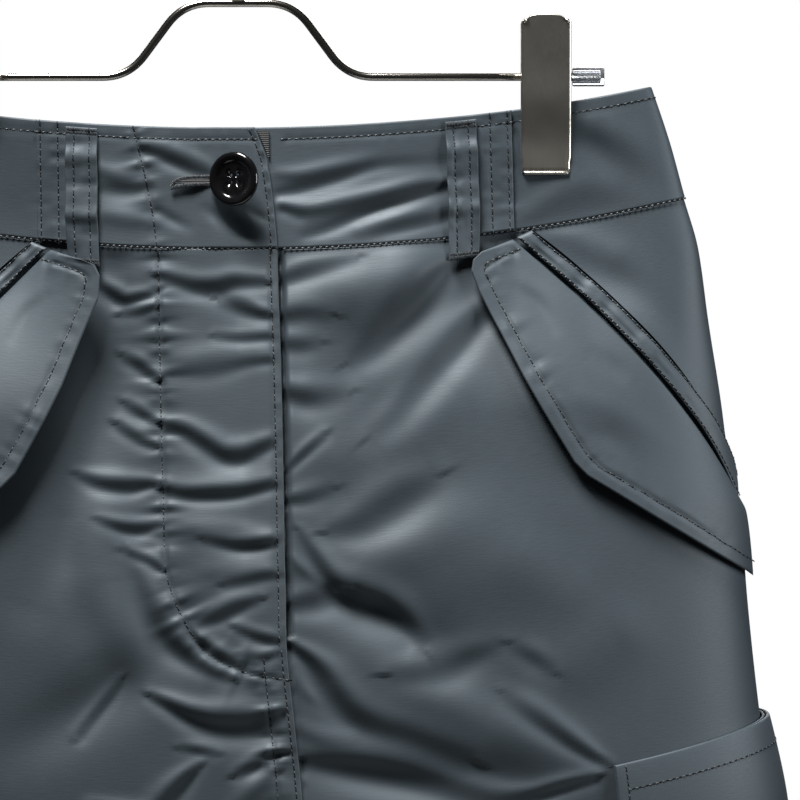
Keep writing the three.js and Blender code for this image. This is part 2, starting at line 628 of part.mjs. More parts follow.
// Clips: two pressed plates on a spring barrel. The back plate's ears hold the wire.
const CLIP = {
  top: -79, bottom: -145.3, plate: 1, crown: 3.2, barrel: 2.6, barrelHigh: -112.7, earHole: 2,
};
const JAW = PINCH_HALF + BAND_OUTER + SEAM_GAP; // inner face of a jaw from the middle of the cloth
const PLATE_LINE = [
  { height: CLIP.bottom, out: JAW },
  { height: CLIP.bottom + 10, out: JAW },
  { height: -114, out: 6.2 },
  { height: -100, out: 7.4 },
  { height: CLIP.top, out: 9.6 },
];
function plateProfile() {
  const inside = PLATE_LINE.map(({ height, out }) => new THREE.Vector2(out, height));
  const outside = PLATE_LINE.map(({ height, out }) => new THREE.Vector2(out + CLIP.plate, height));
  return new THREE.Shape([...inside, ...outside.reverse()]);
}
// A plate bent along the profile, its top cut to a shallow round.
function clipPlate() {
  const bent = new THREE.ExtrudeGeometry(plateProfile(), { depth: CLIP_WIDE, bevelEnabled: false, steps: 1 });
  bent.translate(0, 0, -CLIP_WIDE / 2);
  bent.applyMatrix4(new THREE.Matrix4().set(0, 0, 1, 0, 1, 0, 0, 0, 0, 1, 0, 0, 0, 0, 0, 1));
  const half = CLIP_WIDE / 2;
  const outline = new THREE.Shape();
  outline.moveTo(-half, CLIP.bottom - 1);
  outline.lineTo(half, CLIP.bottom - 1);
  outline.lineTo(half, CLIP.top - CLIP.crown);
  outline.quadraticCurveTo(half * 0.8, CLIP.top, 0, CLIP.top);
  outline.quadraticCurveTo(-half * 0.8, CLIP.top, -half, CLIP.top - CLIP.crown);
  const cutter = new THREE.ExtrudeGeometry(outline, { depth: 30, bevelEnabled: false, curveSegments: 6 });
  cutter.applyMatrix4(new THREE.Matrix4().set(1, 0, 0, 0, 0, 0, 1, -4, 0, 1, 0, 0, 0, 0, 0, 1));
  return outward(bent).intersect(outward(cutter));
}
// The same closed mesh with its faces pointing out, whichever way a mirroring matrix left them.
function outward(geometry) {
  const made = manifoldOf(geometry);
  if (made.volume() > 0) return made;
  const loose = geometry.index ? geometry.toNonIndexed() : geometry;
  const position = loose.getAttribute("position");
  for (let i = 0; i < position.count; i += 3)
    for (const axis of ["X", "Y", "Z"]) {
      const kept = position[`get${axis}`](i);
      position[`set${axis}`](i, position[`get${axis}`](i + 1));
      position[`set${axis}`](i + 1, kept);
    }
  return manifoldOf(loose);
}
function clipEar() {
  const ear = new THREE.Shape([
    [-3, -115.2], [6.3, -115.2], [7.8, -99], [-4.6, -99], [-4.6, -112],
  ].map(([y, z]) => new THREE.Vector2(y, z)));
  const hole = new THREE.Path().absarc(0, BAR.height, CLIP.earHole, 0, 2 * Math.PI, true);
  ear.holes.push(hole);
  const ears = new THREE.ExtrudeGeometry(ear, { depth: CLIP.plate, bevelEnabled: false, curveSegments: 8 });
  return ears.applyMatrix4(new THREE.Matrix4().set(0, 0, 1, 0, 1, 0, 0, 0, 0, 1, 0, 0, 0, 0, 0, 1));
}
function clip(hand, across) {
  const x = CENTRE_FRONT.x + across;
  const plate = clipPlate();
  const front = geometryOf(plate.mirror([0, 1, 0]));
  const earStart = CLIP_WIDE / 2 - CLIP.plate;
  const leftEar = outward(clipEar()).translate([-CLIP_WIDE / 2, 0, 0]);
  const rightEar = outward(clipEar()).translate([earStart, 0, 0]);
  const back = geometryOf(plate.add(leftEar).add(rightEar));
  add(hanger, `clip_${hand}_front`, front, BRUSHED).position.x = x;
  add(hanger, `clip_${hand}_back`, back, BRUSHED).position.x = x;
  const barrelLong = CLIP_WIDE - 2 * CLIP.plate - 2 * SEAM_GAP;
  const barrel = new THREE.CylinderGeometry(CLIP.barrel, CLIP.barrel, barrelLong, 12);
  const spring = add(hanger, `clip_${hand}_spring`, barrel, WIRE);
  spring.rotation.z = Math.PI / 2;
  spring.position.set(x, 0, CLIP.barrelHigh);
}
clip("right", PINCHES[0].across);
clip("left", PINCHES[1].across);

const part = new THREE.Group();
part.add(skirt, hanger);

export default part;
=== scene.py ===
"""Cargo utility skirt on a clip hanger: cloth, sewing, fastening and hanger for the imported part.

Lengths are in millimetres until a mesh is made. The skirt's own frame has its origin at the centre
front of the waist edge, +X to the right as seen from the front, +Y away from the viewer and +Z up.
"""
import logging
import math
from dataclasses import dataclass, field
from enum import Enum
from typing import Callable, Sequence

import bpy
import numpy as np
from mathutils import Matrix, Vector


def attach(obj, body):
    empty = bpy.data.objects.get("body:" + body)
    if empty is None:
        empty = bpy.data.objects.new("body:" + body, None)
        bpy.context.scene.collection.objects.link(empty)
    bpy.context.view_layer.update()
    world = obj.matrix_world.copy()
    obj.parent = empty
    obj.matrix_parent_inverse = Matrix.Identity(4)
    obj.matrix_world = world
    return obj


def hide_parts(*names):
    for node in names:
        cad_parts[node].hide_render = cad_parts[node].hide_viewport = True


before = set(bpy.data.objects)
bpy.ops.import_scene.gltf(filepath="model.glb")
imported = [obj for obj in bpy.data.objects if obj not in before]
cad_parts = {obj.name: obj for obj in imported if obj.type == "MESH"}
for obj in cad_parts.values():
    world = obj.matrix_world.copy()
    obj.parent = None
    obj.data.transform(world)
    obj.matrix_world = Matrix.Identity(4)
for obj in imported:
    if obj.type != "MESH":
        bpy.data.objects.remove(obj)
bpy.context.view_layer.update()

LOG = logging.getLogger("skirt")
ROOT = "root"
MM = 0.001
DEGREE = math.pi / 180

Array = np.ndarray
Piece = bpy.types.Object
Finish = bpy.types.Material
Knots = tuple[tuple[float, float, float, float], ...]
Points = tuple[tuple[float, float], ...]
Pairs = Sequence[tuple[float, float]]
EdgeRows = tuple[tuple[float, float, float], ...]
Colour = tuple[float, float, float]

# The skirt's sizes in millimetres, and its place
BAND_DROP = 51.0
SKIRT_DROP = 600.0
SEAM_GAP = 0.3
CLOTH = 1.2
BAND_INNER = -0.9
BAND_OUTER = 0.6
BAND_MIDDLE = (BAND_OUTER + BAND_INNER) / 2
BAND_WALL = BAND_OUTER - BAND_INNER
LAP_RISE = 1.8
SKIRT_TILT = 1.3 * DEGREE
CENTRE_FRONT = (17.6, -126.4)
SIDE_START = 163.0
CLIP_WIDE = 21.0
WIRE_RADIUS = 1.7
THREAD_LIFT = 0.03
PANEL_THREAD = 0.02
FIRM_STRIP = (-4.0, -2.2)
FIRM_SHARE = 0.85
SEAM_HELD = 0.25
SEAM_REACH = (0.5, 5.5)
SIDES = (("left", 1), ("right", -1))
HAND = {handed: hand for hand, handed in SIDES}


def smoothstep(value: Array | float, start: float, end: float) -> Array:
    """Eases from 0 at start to 1 at end."""
    share = np.clip((np.asarray(value, float) - start) / (end - start), 0.0, 1.0)
    return share * share * (3 - 2 * share)


class Curve:
    """A smooth curve through the rows of a table, which adds no rise or fall of its own."""

    def __init__(self, rows: Pairs) -> None:
        """Fits the curve.

        Args:
            rows: Places and values, in any order of the places.
        """
        table = np.array(sorted(rows), float)
        self.places, self.values = table[:, 0], table[:, 1]
        self.steps = np.diff(self.places)
        slopes = np.diff(self.values) / self.steps
        self.tangents = np.concatenate([[slopes[0]], np.zeros(len(slopes) - 1), [slopes[-1]]])
        for i in range(1, len(slopes)):
            before, after = slopes[i - 1], slopes[i]
            if before * after > 0:
                self.tangents[i] = 2 * before * after / (before + after)

    def __call__(self, at: Array | float) -> Array:
        """Value of the curve, held level beyond its ends.

        Args:
            at: Where to read it.

        Returns:
            The values, in the shape of at.
        """
        at = np.clip(np.asarray(at, float), self.places[0], self.places[-1])
        i = np.clip(np.searchsorted(self.places, at, side="right") - 1, 0, len(self.steps) - 1)
        h = self.steps[i]
        t = (at - self.places[i]) / h
        start = (1 + 2 * t) * (1 - t) ** 2 * self.values[i] + t * (1 - t) ** 2 * h * self.tangents[i]
        end = t * t * (3 - 2 * t) * self.values[i + 1] + t * t * (t - 1) * h * self.tangents[i + 1]
        return start + end


class Wander:
    """A repeatable smooth line of chance between -1 and 1."""

    def __init__(self, seed: int) -> None:
        """Draws the line's values from its seed."""
        self.values = np.random.RandomState(seed).uniform(-1, 1, 1024)

    def __call__(self, at: Array) -> Array:
        """Value of the line.

        Args:
            at: Where to read it, one step of chance a unit.

        Returns:
            The values, in the shape of at.
        """
        whole = np.floor(at).astype(int)
        share = at - whole
        share = share * share * (3 - 2 * share)
        return self.values[whole % 1024] * (1 - share) + self.values[(whole + 1) % 1024] * share


def smooth_path(knots: Array, steps: int) -> Array:
    """Points of a smooth path through some knots.

    Args:
        knots: One row a knot, any number of columns.
        steps: Points for each stretch between two knots.

    Returns:
        The path, one row a point.
    """
    padded = np.vstack([2 * knots[0] - knots[1], knots, 2 * knots[-1] - knots[-2]])
    t = np.linspace(0, 1, steps, endpoint=False)[:, None]
    parts = []
    for a, b, c, d in zip(padded, padded[1:], padded[2:], padded[3:]):
        parts.append(0.5 * (2 * b + (c - a) * t + (2 * a - 5 * b + 4 * c - d) * t**2
                            + (3 * b - a - 3 * c + d) * t**3))
    return np.vstack([*parts, knots[-1:]])


def nearest_on(line: Array, across: Array, down: Array) -> tuple[Array, Array]:
    """Where some places lie beside a line.

    Args:
        line: Two columns, one row a point of the line.
        across: First coordinate of each place.
        down: Second coordinate of each place.

    Returns:
        The nearest point's position along the line, counted in its points, and the distance from it,
        below 0 on the left of the line's direction as seen from the front.
    """
    best = np.full(across.shape, np.inf)
    along = np.zeros(across.shape)
    aside = np.zeros(across.shape)
    for i, (a, b) in enumerate(zip(line, line[1:])):
        run = b - a
        length = max(float(run @ run), 1e-9)
        t = np.clip(((across - a[0]) * run[0] + (down - a[1]) * run[1]) / length, 0, 1)
        dx, dy = across - a[0] - t * run[0], down - a[1] - t * run[1]
        far = dx * dx + dy * dy
        closer = far < best
        best = np.where(closer, far, best)
        along = np.where(closer, i + t, along)
        side = np.where(run[0] * dy - run[1] * dx < 0, -1.0, 1.0)
        aside = np.where(closer, side * np.sqrt(far), aside)
    return along, aside


def about(line: Array, reach: float, across: Array, down: Array) -> Array:
    """Which places lie in the box around a line.

    Args:
        line: The line, its first two columns across and down.
        reach: How far the box passes the line.
        across: To the right of the centre.
        down: Below the waist edge.

    Returns:
        True for each place in the box.
    """
    low, high = line[:, :2].min(axis=0) - reach, line[:, :2].max(axis=0) + reach
    return (across > low[0]) & (across < high[0]) & (down > low[1]) & (down < high[1])


@dataclass(frozen=True)
class Crease:
    """One soft ridge or trough of the cloth, as seen from its own side of the skirt.

    Attributes:
        knots: Places across and down, each with the half width and the height there.
    """

    knots: Knots

    def profile(self, share: Array) -> Array:
        """Height across the crease, at shares of its half width."""
        return np.exp(-(share**2))

    def relief(self, across: Array, down: Array) -> Array:
        """How far the crease lifts the cloth.

        Args:
            across: To the right of the centre.
            down: Below the waist edge.

        Returns:
            The lift in millimetres.
        """
        line = smooth_path(np.array(self.knots, float), 5)
        reach = 2.7 * line[:, 2].max()
        near = about(line, reach, across, down)
        out = np.zeros(across.shape)
        if not near.any():
            return out
        along, aside = nearest_on(line[:, :2], across[near], down[near])
        steps = np.arange(len(line))
        share = aside / np.maximum(np.interp(along, steps, line[:, 2]), 0.5)
        out[near] = np.interp(along, steps, line[:, 3]) * self.profile(share)
        return out


@dataclass(frozen=True)
class Dip(Crease):
    """A ridge with a trough just below it; its knots run along the steep face between the two.

    The knots are listed from left to right, and a half width reaches from the face past ridge or trough.
    """

    def profile(self, share: Array) -> Array:
        """Height across the dip, 1 on its ridge and -1 in its trough."""
        return -math.sqrt(2 * math.e) * share * np.exp(-(share**2))


@dataclass(frozen=True)
class Puckers:
    """The groove under a row of stitches, and the small ridges that it draws into the cloth.

    Attributes:
        path: The stitched line, across and down.
        seed: Start of its chance.
        high: Height of the ridges.
        pitch: Usual distance between them.
        left: How far they run out on the first side of the line.
        right: How far they run out on the other side.
        groove: Depth of the groove.
    """

    path: Points
    seed: int
    high: float = 0.35
    pitch: float = 2.6
    left: float = 4.0
    right: float = 4.0
    groove: float = 0.35

    def relief(self, across: Array, down: Array) -> Array:
        """How far the row lifts the cloth.

        Args:
            across: To the right of the centre.
            down: Below the waist edge.

        Returns:
            The lift in millimetres.
        """
        line = smooth_path(np.array(self.path, float), 6) if len(self.path) > 2 else np.array(self.path, float)
        reach = 2.6 * max(self.left, self.right) + 2
        near = about(line, reach, across, down)
        out = np.zeros(across.shape)
        if not near.any():
            return out
        index, aside = nearest_on(line, across[near], down[near])
        lengths = np.concatenate([[0], np.cumsum(np.linalg.norm(np.diff(line, axis=0), axis=1))])
        along = np.interp(index, np.arange(len(line)), lengths)
        away = np.abs(aside)
        chance, spread = Wander(self.seed), Wander(self.seed + 1)
        ridge = chance(along / self.pitch) + 0.35 * chance(along / self.pitch * 0.37 + 300)
        run = np.where(aside < 0, self.left, self.right) * (0.75 + 0.55 * spread(along / self.pitch / 1.6))
        fade = np.exp(-((away / np.maximum(run, 0.3)) ** 1.5))
        ends = smoothstep(along, 0.0, 1.5) * smoothstep(lengths[-1] - along, 0.0, 1.5)
        hold = 1 - 0.75 * np.exp(-((away / 1.2) ** 2))
        out[near] = ends * (self.high * ridge * fade * hold - self.groove * np.exp(-((away / 1.05) ** 2)))
        return out


@dataclass(frozen=True)
class Relief:
    """All that shapes one layer of cloth beyond its large folds.

    Attributes:
        front: What lies on the front of the skirt.
        back: What lies on its back.
        firm_edge: Whether the strip outside the centre edge's stitching stays smooth.
        depth: Factor of all its heights.
    """

    front: tuple[Crease | Puckers, ...] = ()
    back: tuple[Crease | Puckers, ...] = ()
    firm_edge: bool = False
    depth: float = 1.0

    def at(self, facing: Array, across: Array, down: Array) -> Array:
        """How far the layer is lifted.

        Args:
            facing: Above 0 on the front, below 0 on the back.
            across: To the right of the centre.
            down: Below the waist edge.

        Returns:
            The lift in millimetres.
        """
        out = np.zeros(across.shape)
        for marks, here in ((self.front, facing >= 0), (self.back, facing < 0)):
            if marks and here.any():
                out[here] = self.depth * sum(mark.relief(across[here], down[here]) for mark in marks)
        if self.firm_edge:
            inside = across - CENTRE_EDGE(down)
            out = out * (1 - FIRM_SHARE * smoothstep(inside, *FIRM_STRIP) * (facing >= 0))
        return out


@dataclass(frozen=True)
class Fold:
    """A large fold of the hanging cloth, the same as in the solids.

    Attributes:
        side: 1 on the front, -1 on the back.
        across: Middle of the fold, to the right of the centre.
        down: Middle of the fold, below the waist edge.
        long: Its length.
        wide: Its half width.
        lean: Degrees from upright, towards +X at the top.
        high: Its height out of the cloth.
    """

    side: int
    across: float
    down: float
    long: float
    wide: float
    lean: float
    high: float

    def relief(self, across: Array, down: Array) -> Array:
        """How far the fold lifts the cloth of its side.

        Args:
            across: To the right of the centre.
            down: Below the waist edge.

        Returns:
            The lift in millimetres.
        """
        lean = self.lean * DEGREE
        dx, dz = across - self.across, self.down - down
        along = dx * math.sin(lean) + dz * math.cos(lean)
        aside = dx * math.cos(lean) - dz * math.sin(lean)
        ends = np.maximum(0, 1 - (2 * along / self.long) ** 2)
        return self.high * ends**2 * np.exp(-((aside / self.wide) ** 2))


@dataclass(frozen=True)
class Garment:
    """The hanging skirt's face, from which every layer of cloth is made."""

    outline: tuple[tuple[float, float, float, float], ...] = (
        (16, 155, 8, 2.6), (-11, 163.3, 10, 3), (-32, 168.5, 12, 3.6), (-55, 174.5, 15, 4.6),
        (-85, 178, 20, 6.5), (-118, 182.4, 26, 9), (-143, 185.2, 30, 11), (-167, 189.7, 34, 13),
        (-203, 191.8, 39, 16), (-248, 195.6, 43, 19), (-287, 200.5, 46, 21), (-400, 207, 50, 24),
        (-500, 212, 53, 25), (-610, 217, 56, 26))
    sag: Points = ((0, 13.7), (51, 17.6), (270, 15.5), (600, 10))
    folds: tuple[Fold, ...] = (
        Fold(1, 34, 66, 120, 12, 74, 3.2), Fold(1, 50, 84, 96, 9, 50, -2.6),
        Fold(1, 54, 108, 100, 10, 45, -2.8), Fold(1, 50, 176, 110, 13, 68, 3),
        Fold(1, 30, 203, 90, 9, -66, -3.4), Fold(1, 78, 246, 150, 14, -64, 3.4),
        Fold(1, 52, 272, 150, 11, -84, -4), Fold(1, -78, 236, 130, 13, 60, -3.4),
        Fold(1, 26, 520, 330, 24, 3, -8), Fold(1, 84, 545, 330, 27, -2, 8.5),
        Fold(1, -48, 540, 330, 27, -3, 8.5), Fold(1, -108, 560, 280, 22, 4, -6.5),
        Fold(1, 142, 570, 240, 20, -4, -5.5), Fold(-1, 70, 520, 340, 28, 3, 8.5),
        Fold(-1, 8, 540, 320, 24, -2, -7.5), Fold(-1, -64, 530, 330, 27, -3, 8.5),
        Fold(-1, -128, 560, 260, 22, 3, -6), Fold(-1, 130, 560, 260, 22, -3, -6),
        Fold(-1, 52, 150, 170, 20, 40, 4), Fold(-1, -58, 160, 180, 20, -42, 4))
    pinches: tuple[float, float] = (111.7, -130)
    pinch_flat: float = CLIP_WIDE / 2 + 3
    pinch_fade: float = 54
    pinch_bottom: float = -26
    pinch_fade_down: float = 96
    pinch_half: float = 1.6
    curves: dict[str, Curve] = field(default_factory=dict)

    def __post_init__(self) -> None:
        """Fits the smooth curves through the tables."""
        for i, name in enumerate(("wide", "deep", "radius"), 1):
            self.curves[name] = Curve([(row[0], row[i]) for row in self.outline])
        self.curves["rise"] = Curve(self.sag)

    def rise(self, drop: Array | float) -> Array:
        """How much higher the side seams hang than the centres."""
        return self.curves["rise"](drop)

    def half_width(self, height: Array | float) -> Array:
        """Half width of the skirt at a height."""
        return self.curves["wide"](height)

    def pinch(self, across: Array, height: Array) -> Array:
        """How far the clips hold front and back together.

        Args:
            across: To the right of the centre.
            height: Height of each place.

        Returns:
            1 under a clip's jaws, falling to 0 where the cloth hangs free.
        """
        down = 1 - smoothstep(self.pinch_bottom - height, 0, self.pinch_fade_down)
        held = [1 - smoothstep(np.abs(across - at) - self.pinch_flat, 0, self.pinch_fade) for at in self.pinches]
        return np.maximum(*held) * down

    def face(self, angle: Array, drop: Array) -> Array:
        """Points of the skirt's face.

        Args:
            angle: Degrees round the skirt: 0 centre front, 90 the +X side seam, 180 centre back.
            drop: Distance down the cloth from the waist edge.

        Returns:
            Points, with x, y and z in the last axis.
        """
        share, facing = np.sin(angle * DEGREE), np.cos(angle * DEGREE)
        height = -drop + self.rise(drop) * share * share
        wide, deep = self.half_width(height), self.curves["deep"](height)
        x = wide * share
        from_side = wide * (1 - np.abs(share))
        opened = deep * np.sqrt(1 - np.exp(-2 * self.curves["radius"](height) * from_side / deep**2))
        pinch = self.pinch(x, height)
        side = np.where(facing >= 0, 1, -1)
        fold = sum(np.where(side == f.side, f.relief(x, -height), 0.0) for f in self.folds)
        fold = fold * np.minimum(1, facing * facing * 3) * (1 - pinch)
        shut = self.pinch_half * np.tanh(opened / self.pinch_half)
        half = opened * (1 - pinch) + shut * pinch + fold
        return np.stack([x, -side * half, height], axis=-1)

    def outward(self, angle: Array, drop: Array) -> Array:
        """Unit normals of the face, pointing out of the skirt.

        Args:
            angle: Degrees round the skirt.
            drop: Down the cloth.

        Returns:
            Normals, with x, y and z in the last axis.
        """
        along = self.face(angle + 0.4, drop) - self.face(angle - 0.4, drop)
        down = self.face(angle, drop + 1) - self.face(angle, drop - 1)
        normal = np.cross(down, along)
        return normal / np.linalg.norm(normal, axis=-1, keepdims=True)

    def layer(self, angle: Array, drop: Array, lift: Array | float, relief: Relief) -> tuple[Array, Array]:
        """Points of a layer of cloth over the face.

        Args:
            angle: Degrees round the skirt.
            drop: Down the cloth.
            lift: Distance of the layer from the face.
            relief: Its creases.

        Returns:
            The points and the outward normals.
        """
        angle, drop = np.broadcast_arrays(np.asarray(angle, float), np.asarray(drop, float))
        centre, normal = self.face(angle, drop), self.outward(angle, drop)
        facing = np.cos(angle * DEGREE)
        more = relief.at(facing, centre[..., 0], -centre[..., 2]) * np.minimum(1, facing * facing * 3)
        more = more * (SEAM_HELD + (1 - SEAM_HELD) * smoothstep(np.abs(drop - BAND_DROP), *SEAM_REACH))
        return centre + normal * (np.asarray(lift) + more)[..., None], normal

    def seen_at(self, across: Array, down: Array) -> tuple[Array, Array]:
        """Angle and drop of places seen from the front.

        Args:
            across: To the right of the centre.
            down: Distance below the waist edge.

        Returns:
            The angles and the drops.
        """
        share = np.clip(np.asarray(across, float) / self.half_width(-np.asarray(down, float)), -0.9986, 0.9986)
        drop = np.asarray(down, float)
        for _ in range(4):
            drop = down + self.rise(drop) * share * share
        return np.arcsin(share) / DEGREE, drop

    def angle_at(self, across: Array | float, drop: Array | float) -> Array:
        """Angle of a place given by its distance to the right of the centre and its drop down the cloth."""
        wide = self.half_width(-np.asarray(drop) + self.rise(drop) * (np.asarray(across) / 170) ** 2)
        return np.arcsin(np.clip(across / wide, -1, 1)) / DEGREE

    def side_gap(self, drop: Array) -> Array:
        """Half a seam gap on the side fold, as an angle."""
        height = -drop + self.rise(drop)
        return SEAM_GAP / 2 / np.sqrt(self.curves["radius"](height) * self.half_width(height)) / DEGREE

    def gap_angle(self, drop: Array) -> Array:
        """Half a seam gap across the front or back, as an angle."""
        return SEAM_GAP / 2 / (self.half_width(-drop) * DEGREE)


GARMENT = Garment()


def placed(points: Array) -> Array:
    """The skirt's points in the part's frame.

    Args:
        points: Points in the skirt's own frame, in millimetres.

    Returns:
        The points in metres, hung from the clips.
    """
    x, y, z = points[..., 0], points[..., 1], points[..., 2]
    turned = np.stack([
        x * math.cos(SKIRT_TILT) - z * math.sin(SKIRT_TILT) + CENTRE_FRONT[0], y,
        x * math.sin(SKIRT_TILT) + z * math.cos(SKIRT_TILT) + CENTRE_FRONT[1]], axis=-1)
    return turned * MM


# Meshes
def spaced(*parts: tuple[float, float, float], rim: float = 0.0) -> Array:
    """Places along a line, closer together at its two ends where a rim is rounded.

    Args:
        parts: Stretches as start, end and usual step, each beginning where the last one ended.
        rim: Length of cloth over which an edge is rounded, or 0 for none.

    Returns:
        The places, an odd number of them.
    """
    places = [parts[0][0]]
    for start, end, step in parts:
        count = 2 * max(1, round(abs(end - start) / step / 2))
        places.extend(np.linspace(start, end, count + 1)[1:])
    found = np.array(places)
    if rim:
        way = 1 if found[-1] > found[0] else -1
        steps = np.array([0.1, 0.35, 0.7, 1.0]) * rim * way
        inner = found[(np.abs(found - found[0]) > 1.3 * rim) & (np.abs(found - found[-1]) > 1.3 * rim)]
        found = np.concatenate([[found[0]], found[0] + steps, inner, found[-1] - steps[::-1], [found[-1]]])
        if len(found) % 2 == 0:
            middle = len(found) // 2
            found = np.insert(found, middle, (found[middle - 1] + found[middle]) / 2)
    return found


def rim_distance(points: Array, edges: str) -> Array:
    """How far each point of a grid lies from the grid's rounded edges.

    Args:
        points: The grid, rows by columns by 3.
        edges: Which edges count: t for the first row, b for the last, l and r for the columns.

    Returns:
        The distance over the cloth.
    """
    far = np.full(points.shape[:2], np.inf)
    across = np.zeros(points.shape[:2])
    across[:, 1:] = np.cumsum(np.linalg.norm(np.diff(points, axis=1), axis=2), axis=1)
    down = np.zeros(points.shape[:2])
    down[1:] = np.cumsum(np.linalg.norm(np.diff(points, axis=0), axis=2), axis=0)
    for edge, distance in (("l", across), ("r", across[:, -1:] - across), ("t", down), ("b", down[-1:] - down)):
        if edge in edges:
            far = np.minimum(far, distance)
    return far


def new_mesh(name: str, points: Array, faces: list, finish: Finish, uv: Array | None = None,
             smooth: bool = True) -> Piece:
    """A mesh object in the scene.

    Args:
        name: Name of the piece.
        points: Its corners, in metres.
        faces: Indices of each face's corners.
        finish: Its material.
        uv: Place of each corner on the flat cloth, or none.
        smooth: Whether its faces are shaded smooth.

    Returns:
        The object.
    """
    mesh = bpy.data.meshes.new(name)
    mesh.from_pydata(points.reshape(-1, 3).tolist(), [], faces)
    mesh.materials.append(finish)
    if smooth:
        mesh.shade_smooth()
    if uv is not None:
        layer = mesh.uv_layers.new(name="cloth")
        index = np.zeros(len(mesh.loops), np.int32)
        mesh.loops.foreach_get("vertex_index", index)
        layer.data.foreach_set("uv", uv.reshape(-1, 2)[index].astype(np.float32).ravel())
    obj = bpy.data.objects.new(name, mesh)
    bpy.context.scene.collection.objects.link(obj)
    return obj


def signed_volume(points: Array, faces: Sequence[Sequence[int]]) -> float:
    """Six times the volume inside a closed mesh, below 0 where its faces point inwards.

    Args:
        points: Corners.
        faces: Indices of each face's corners.

    Returns:
        The volume's sign and size.
    """
    total = 0.0
    flat = points.reshape(-1, 3)
    for size in {len(f) for f in faces}:
        some = np.array([f for f in faces if len(f) == size])
        for i in range(1, size - 1):
            total += float((flat[some[:, 0]] * np.cross(flat[some[:, i]], flat[some[:, i + 1]])).sum())
    return total


def shell(name: str, outer: Array, inner: Array, uv: Array, finish: Finish) -> Piece:
    """A closed sheet of cloth whose inside has half the rows and columns of its outside.

    Args:
        name: Name of the piece.
        outer: Grid of its outside, with odd numbers of rows and columns.
        inner: Grid of its inside, of the same size.
        uv: Place of each grid point on the flat cloth.
        finish: Its material.

    Returns:
        The object.
    """
    rows, columns = outer.shape[:2]
    few = inner[::2, ::2]
    base = rows * columns
    r, c = np.meshgrid(np.arange(rows - 1), np.arange(columns - 1), indexing="ij")
    a = (r * columns + c).ravel()
    quads = np.stack([a, a + 1, a + columns + 1, a + columns], axis=1)
    small_rows, small = few.shape[:2]
    r, c = np.meshgrid(np.arange(small_rows - 1), np.arange(small - 1), indexing="ij")
    b = (base + r * small + c).ravel()
    back = np.stack([b, b + small, b + small + 1, b + 1], axis=1)
    faces = quads.tolist() + back.tolist()

    def rim(outside: Array, inside: Array) -> None:
        """Joins one edge of the outside to the same edge of the inside.

        Args:
            outside: Numbers of the outside's points along the edge.
            inside: Numbers of the inside's points, half as many.
        """
        for i in range(len(inside) - 1):
            one, two, three = (int(v) for v in outside[2 * i:2 * i + 3])
            start, end = int(inside[i]), int(inside[i + 1])
            faces.extend([[two, one, start], [two, start, end], [three, two, end]])

    out = np.arange(base).reshape(rows, columns)
    back_grid = base + np.arange(small_rows * small).reshape(small_rows, small)
    rim(out[0], back_grid[0])
    rim(out[-1][::-1], back_grid[-1][::-1])
    rim(out[:, 0][::-1], back_grid[:, 0][::-1])
    rim(out[:, -1], back_grid[:, -1])
    points = np.concatenate([outer.reshape(-1, 3), few.reshape(-1, 3)])
    places = np.concatenate([uv.reshape(-1, 2), uv[::2, ::2].reshape(-1, 2)])
    if signed_volume(points, faces) < 0:
        faces = [f[::-1] for f in faces]
    return new_mesh(name, points, faces, finish, places)


def cloth_piece(name: str, angle: Array, drop: Array, lift: Array | float, wall: Array | float, relief: Relief,
                finish: Finish, edges: str = "tblr", rim: float = 0.6) -> Piece:
    """A cut piece of cloth lying over the skirt's face.

    Args:
        name: Name of the piece.
        angle: Degrees round the skirt, rows by columns.
        drop: Distance down the cloth, rows by columns.
        lift: Distance of its middle from the face.
        wall: Its thickness.
        relief: Its creases.
        finish: Its material.
        edges: Which edges are rounded.
        rim: Length of cloth over which they are.

    Returns:
        The object.
    """
    angle, drop = np.broadcast_arrays(angle, drop)
    middle, normal = GARMENT.layer(angle, drop, lift, relief)
    far = rim_distance(middle, edges)
    squeeze = 1 - np.sqrt(1 - (1 - np.clip(far / rim, 0, 1)) ** 2)
    half = (np.asarray(wall) / 2 * (1 - 0.93 * squeeze))[..., None]
    wide = GARMENT.half_width(-drop) * DEGREE
    uv = np.stack([angle * wide * MM, drop * MM], axis=-1)
    return shell(name, placed(middle + normal * half), placed(middle - normal * half), uv, finish)


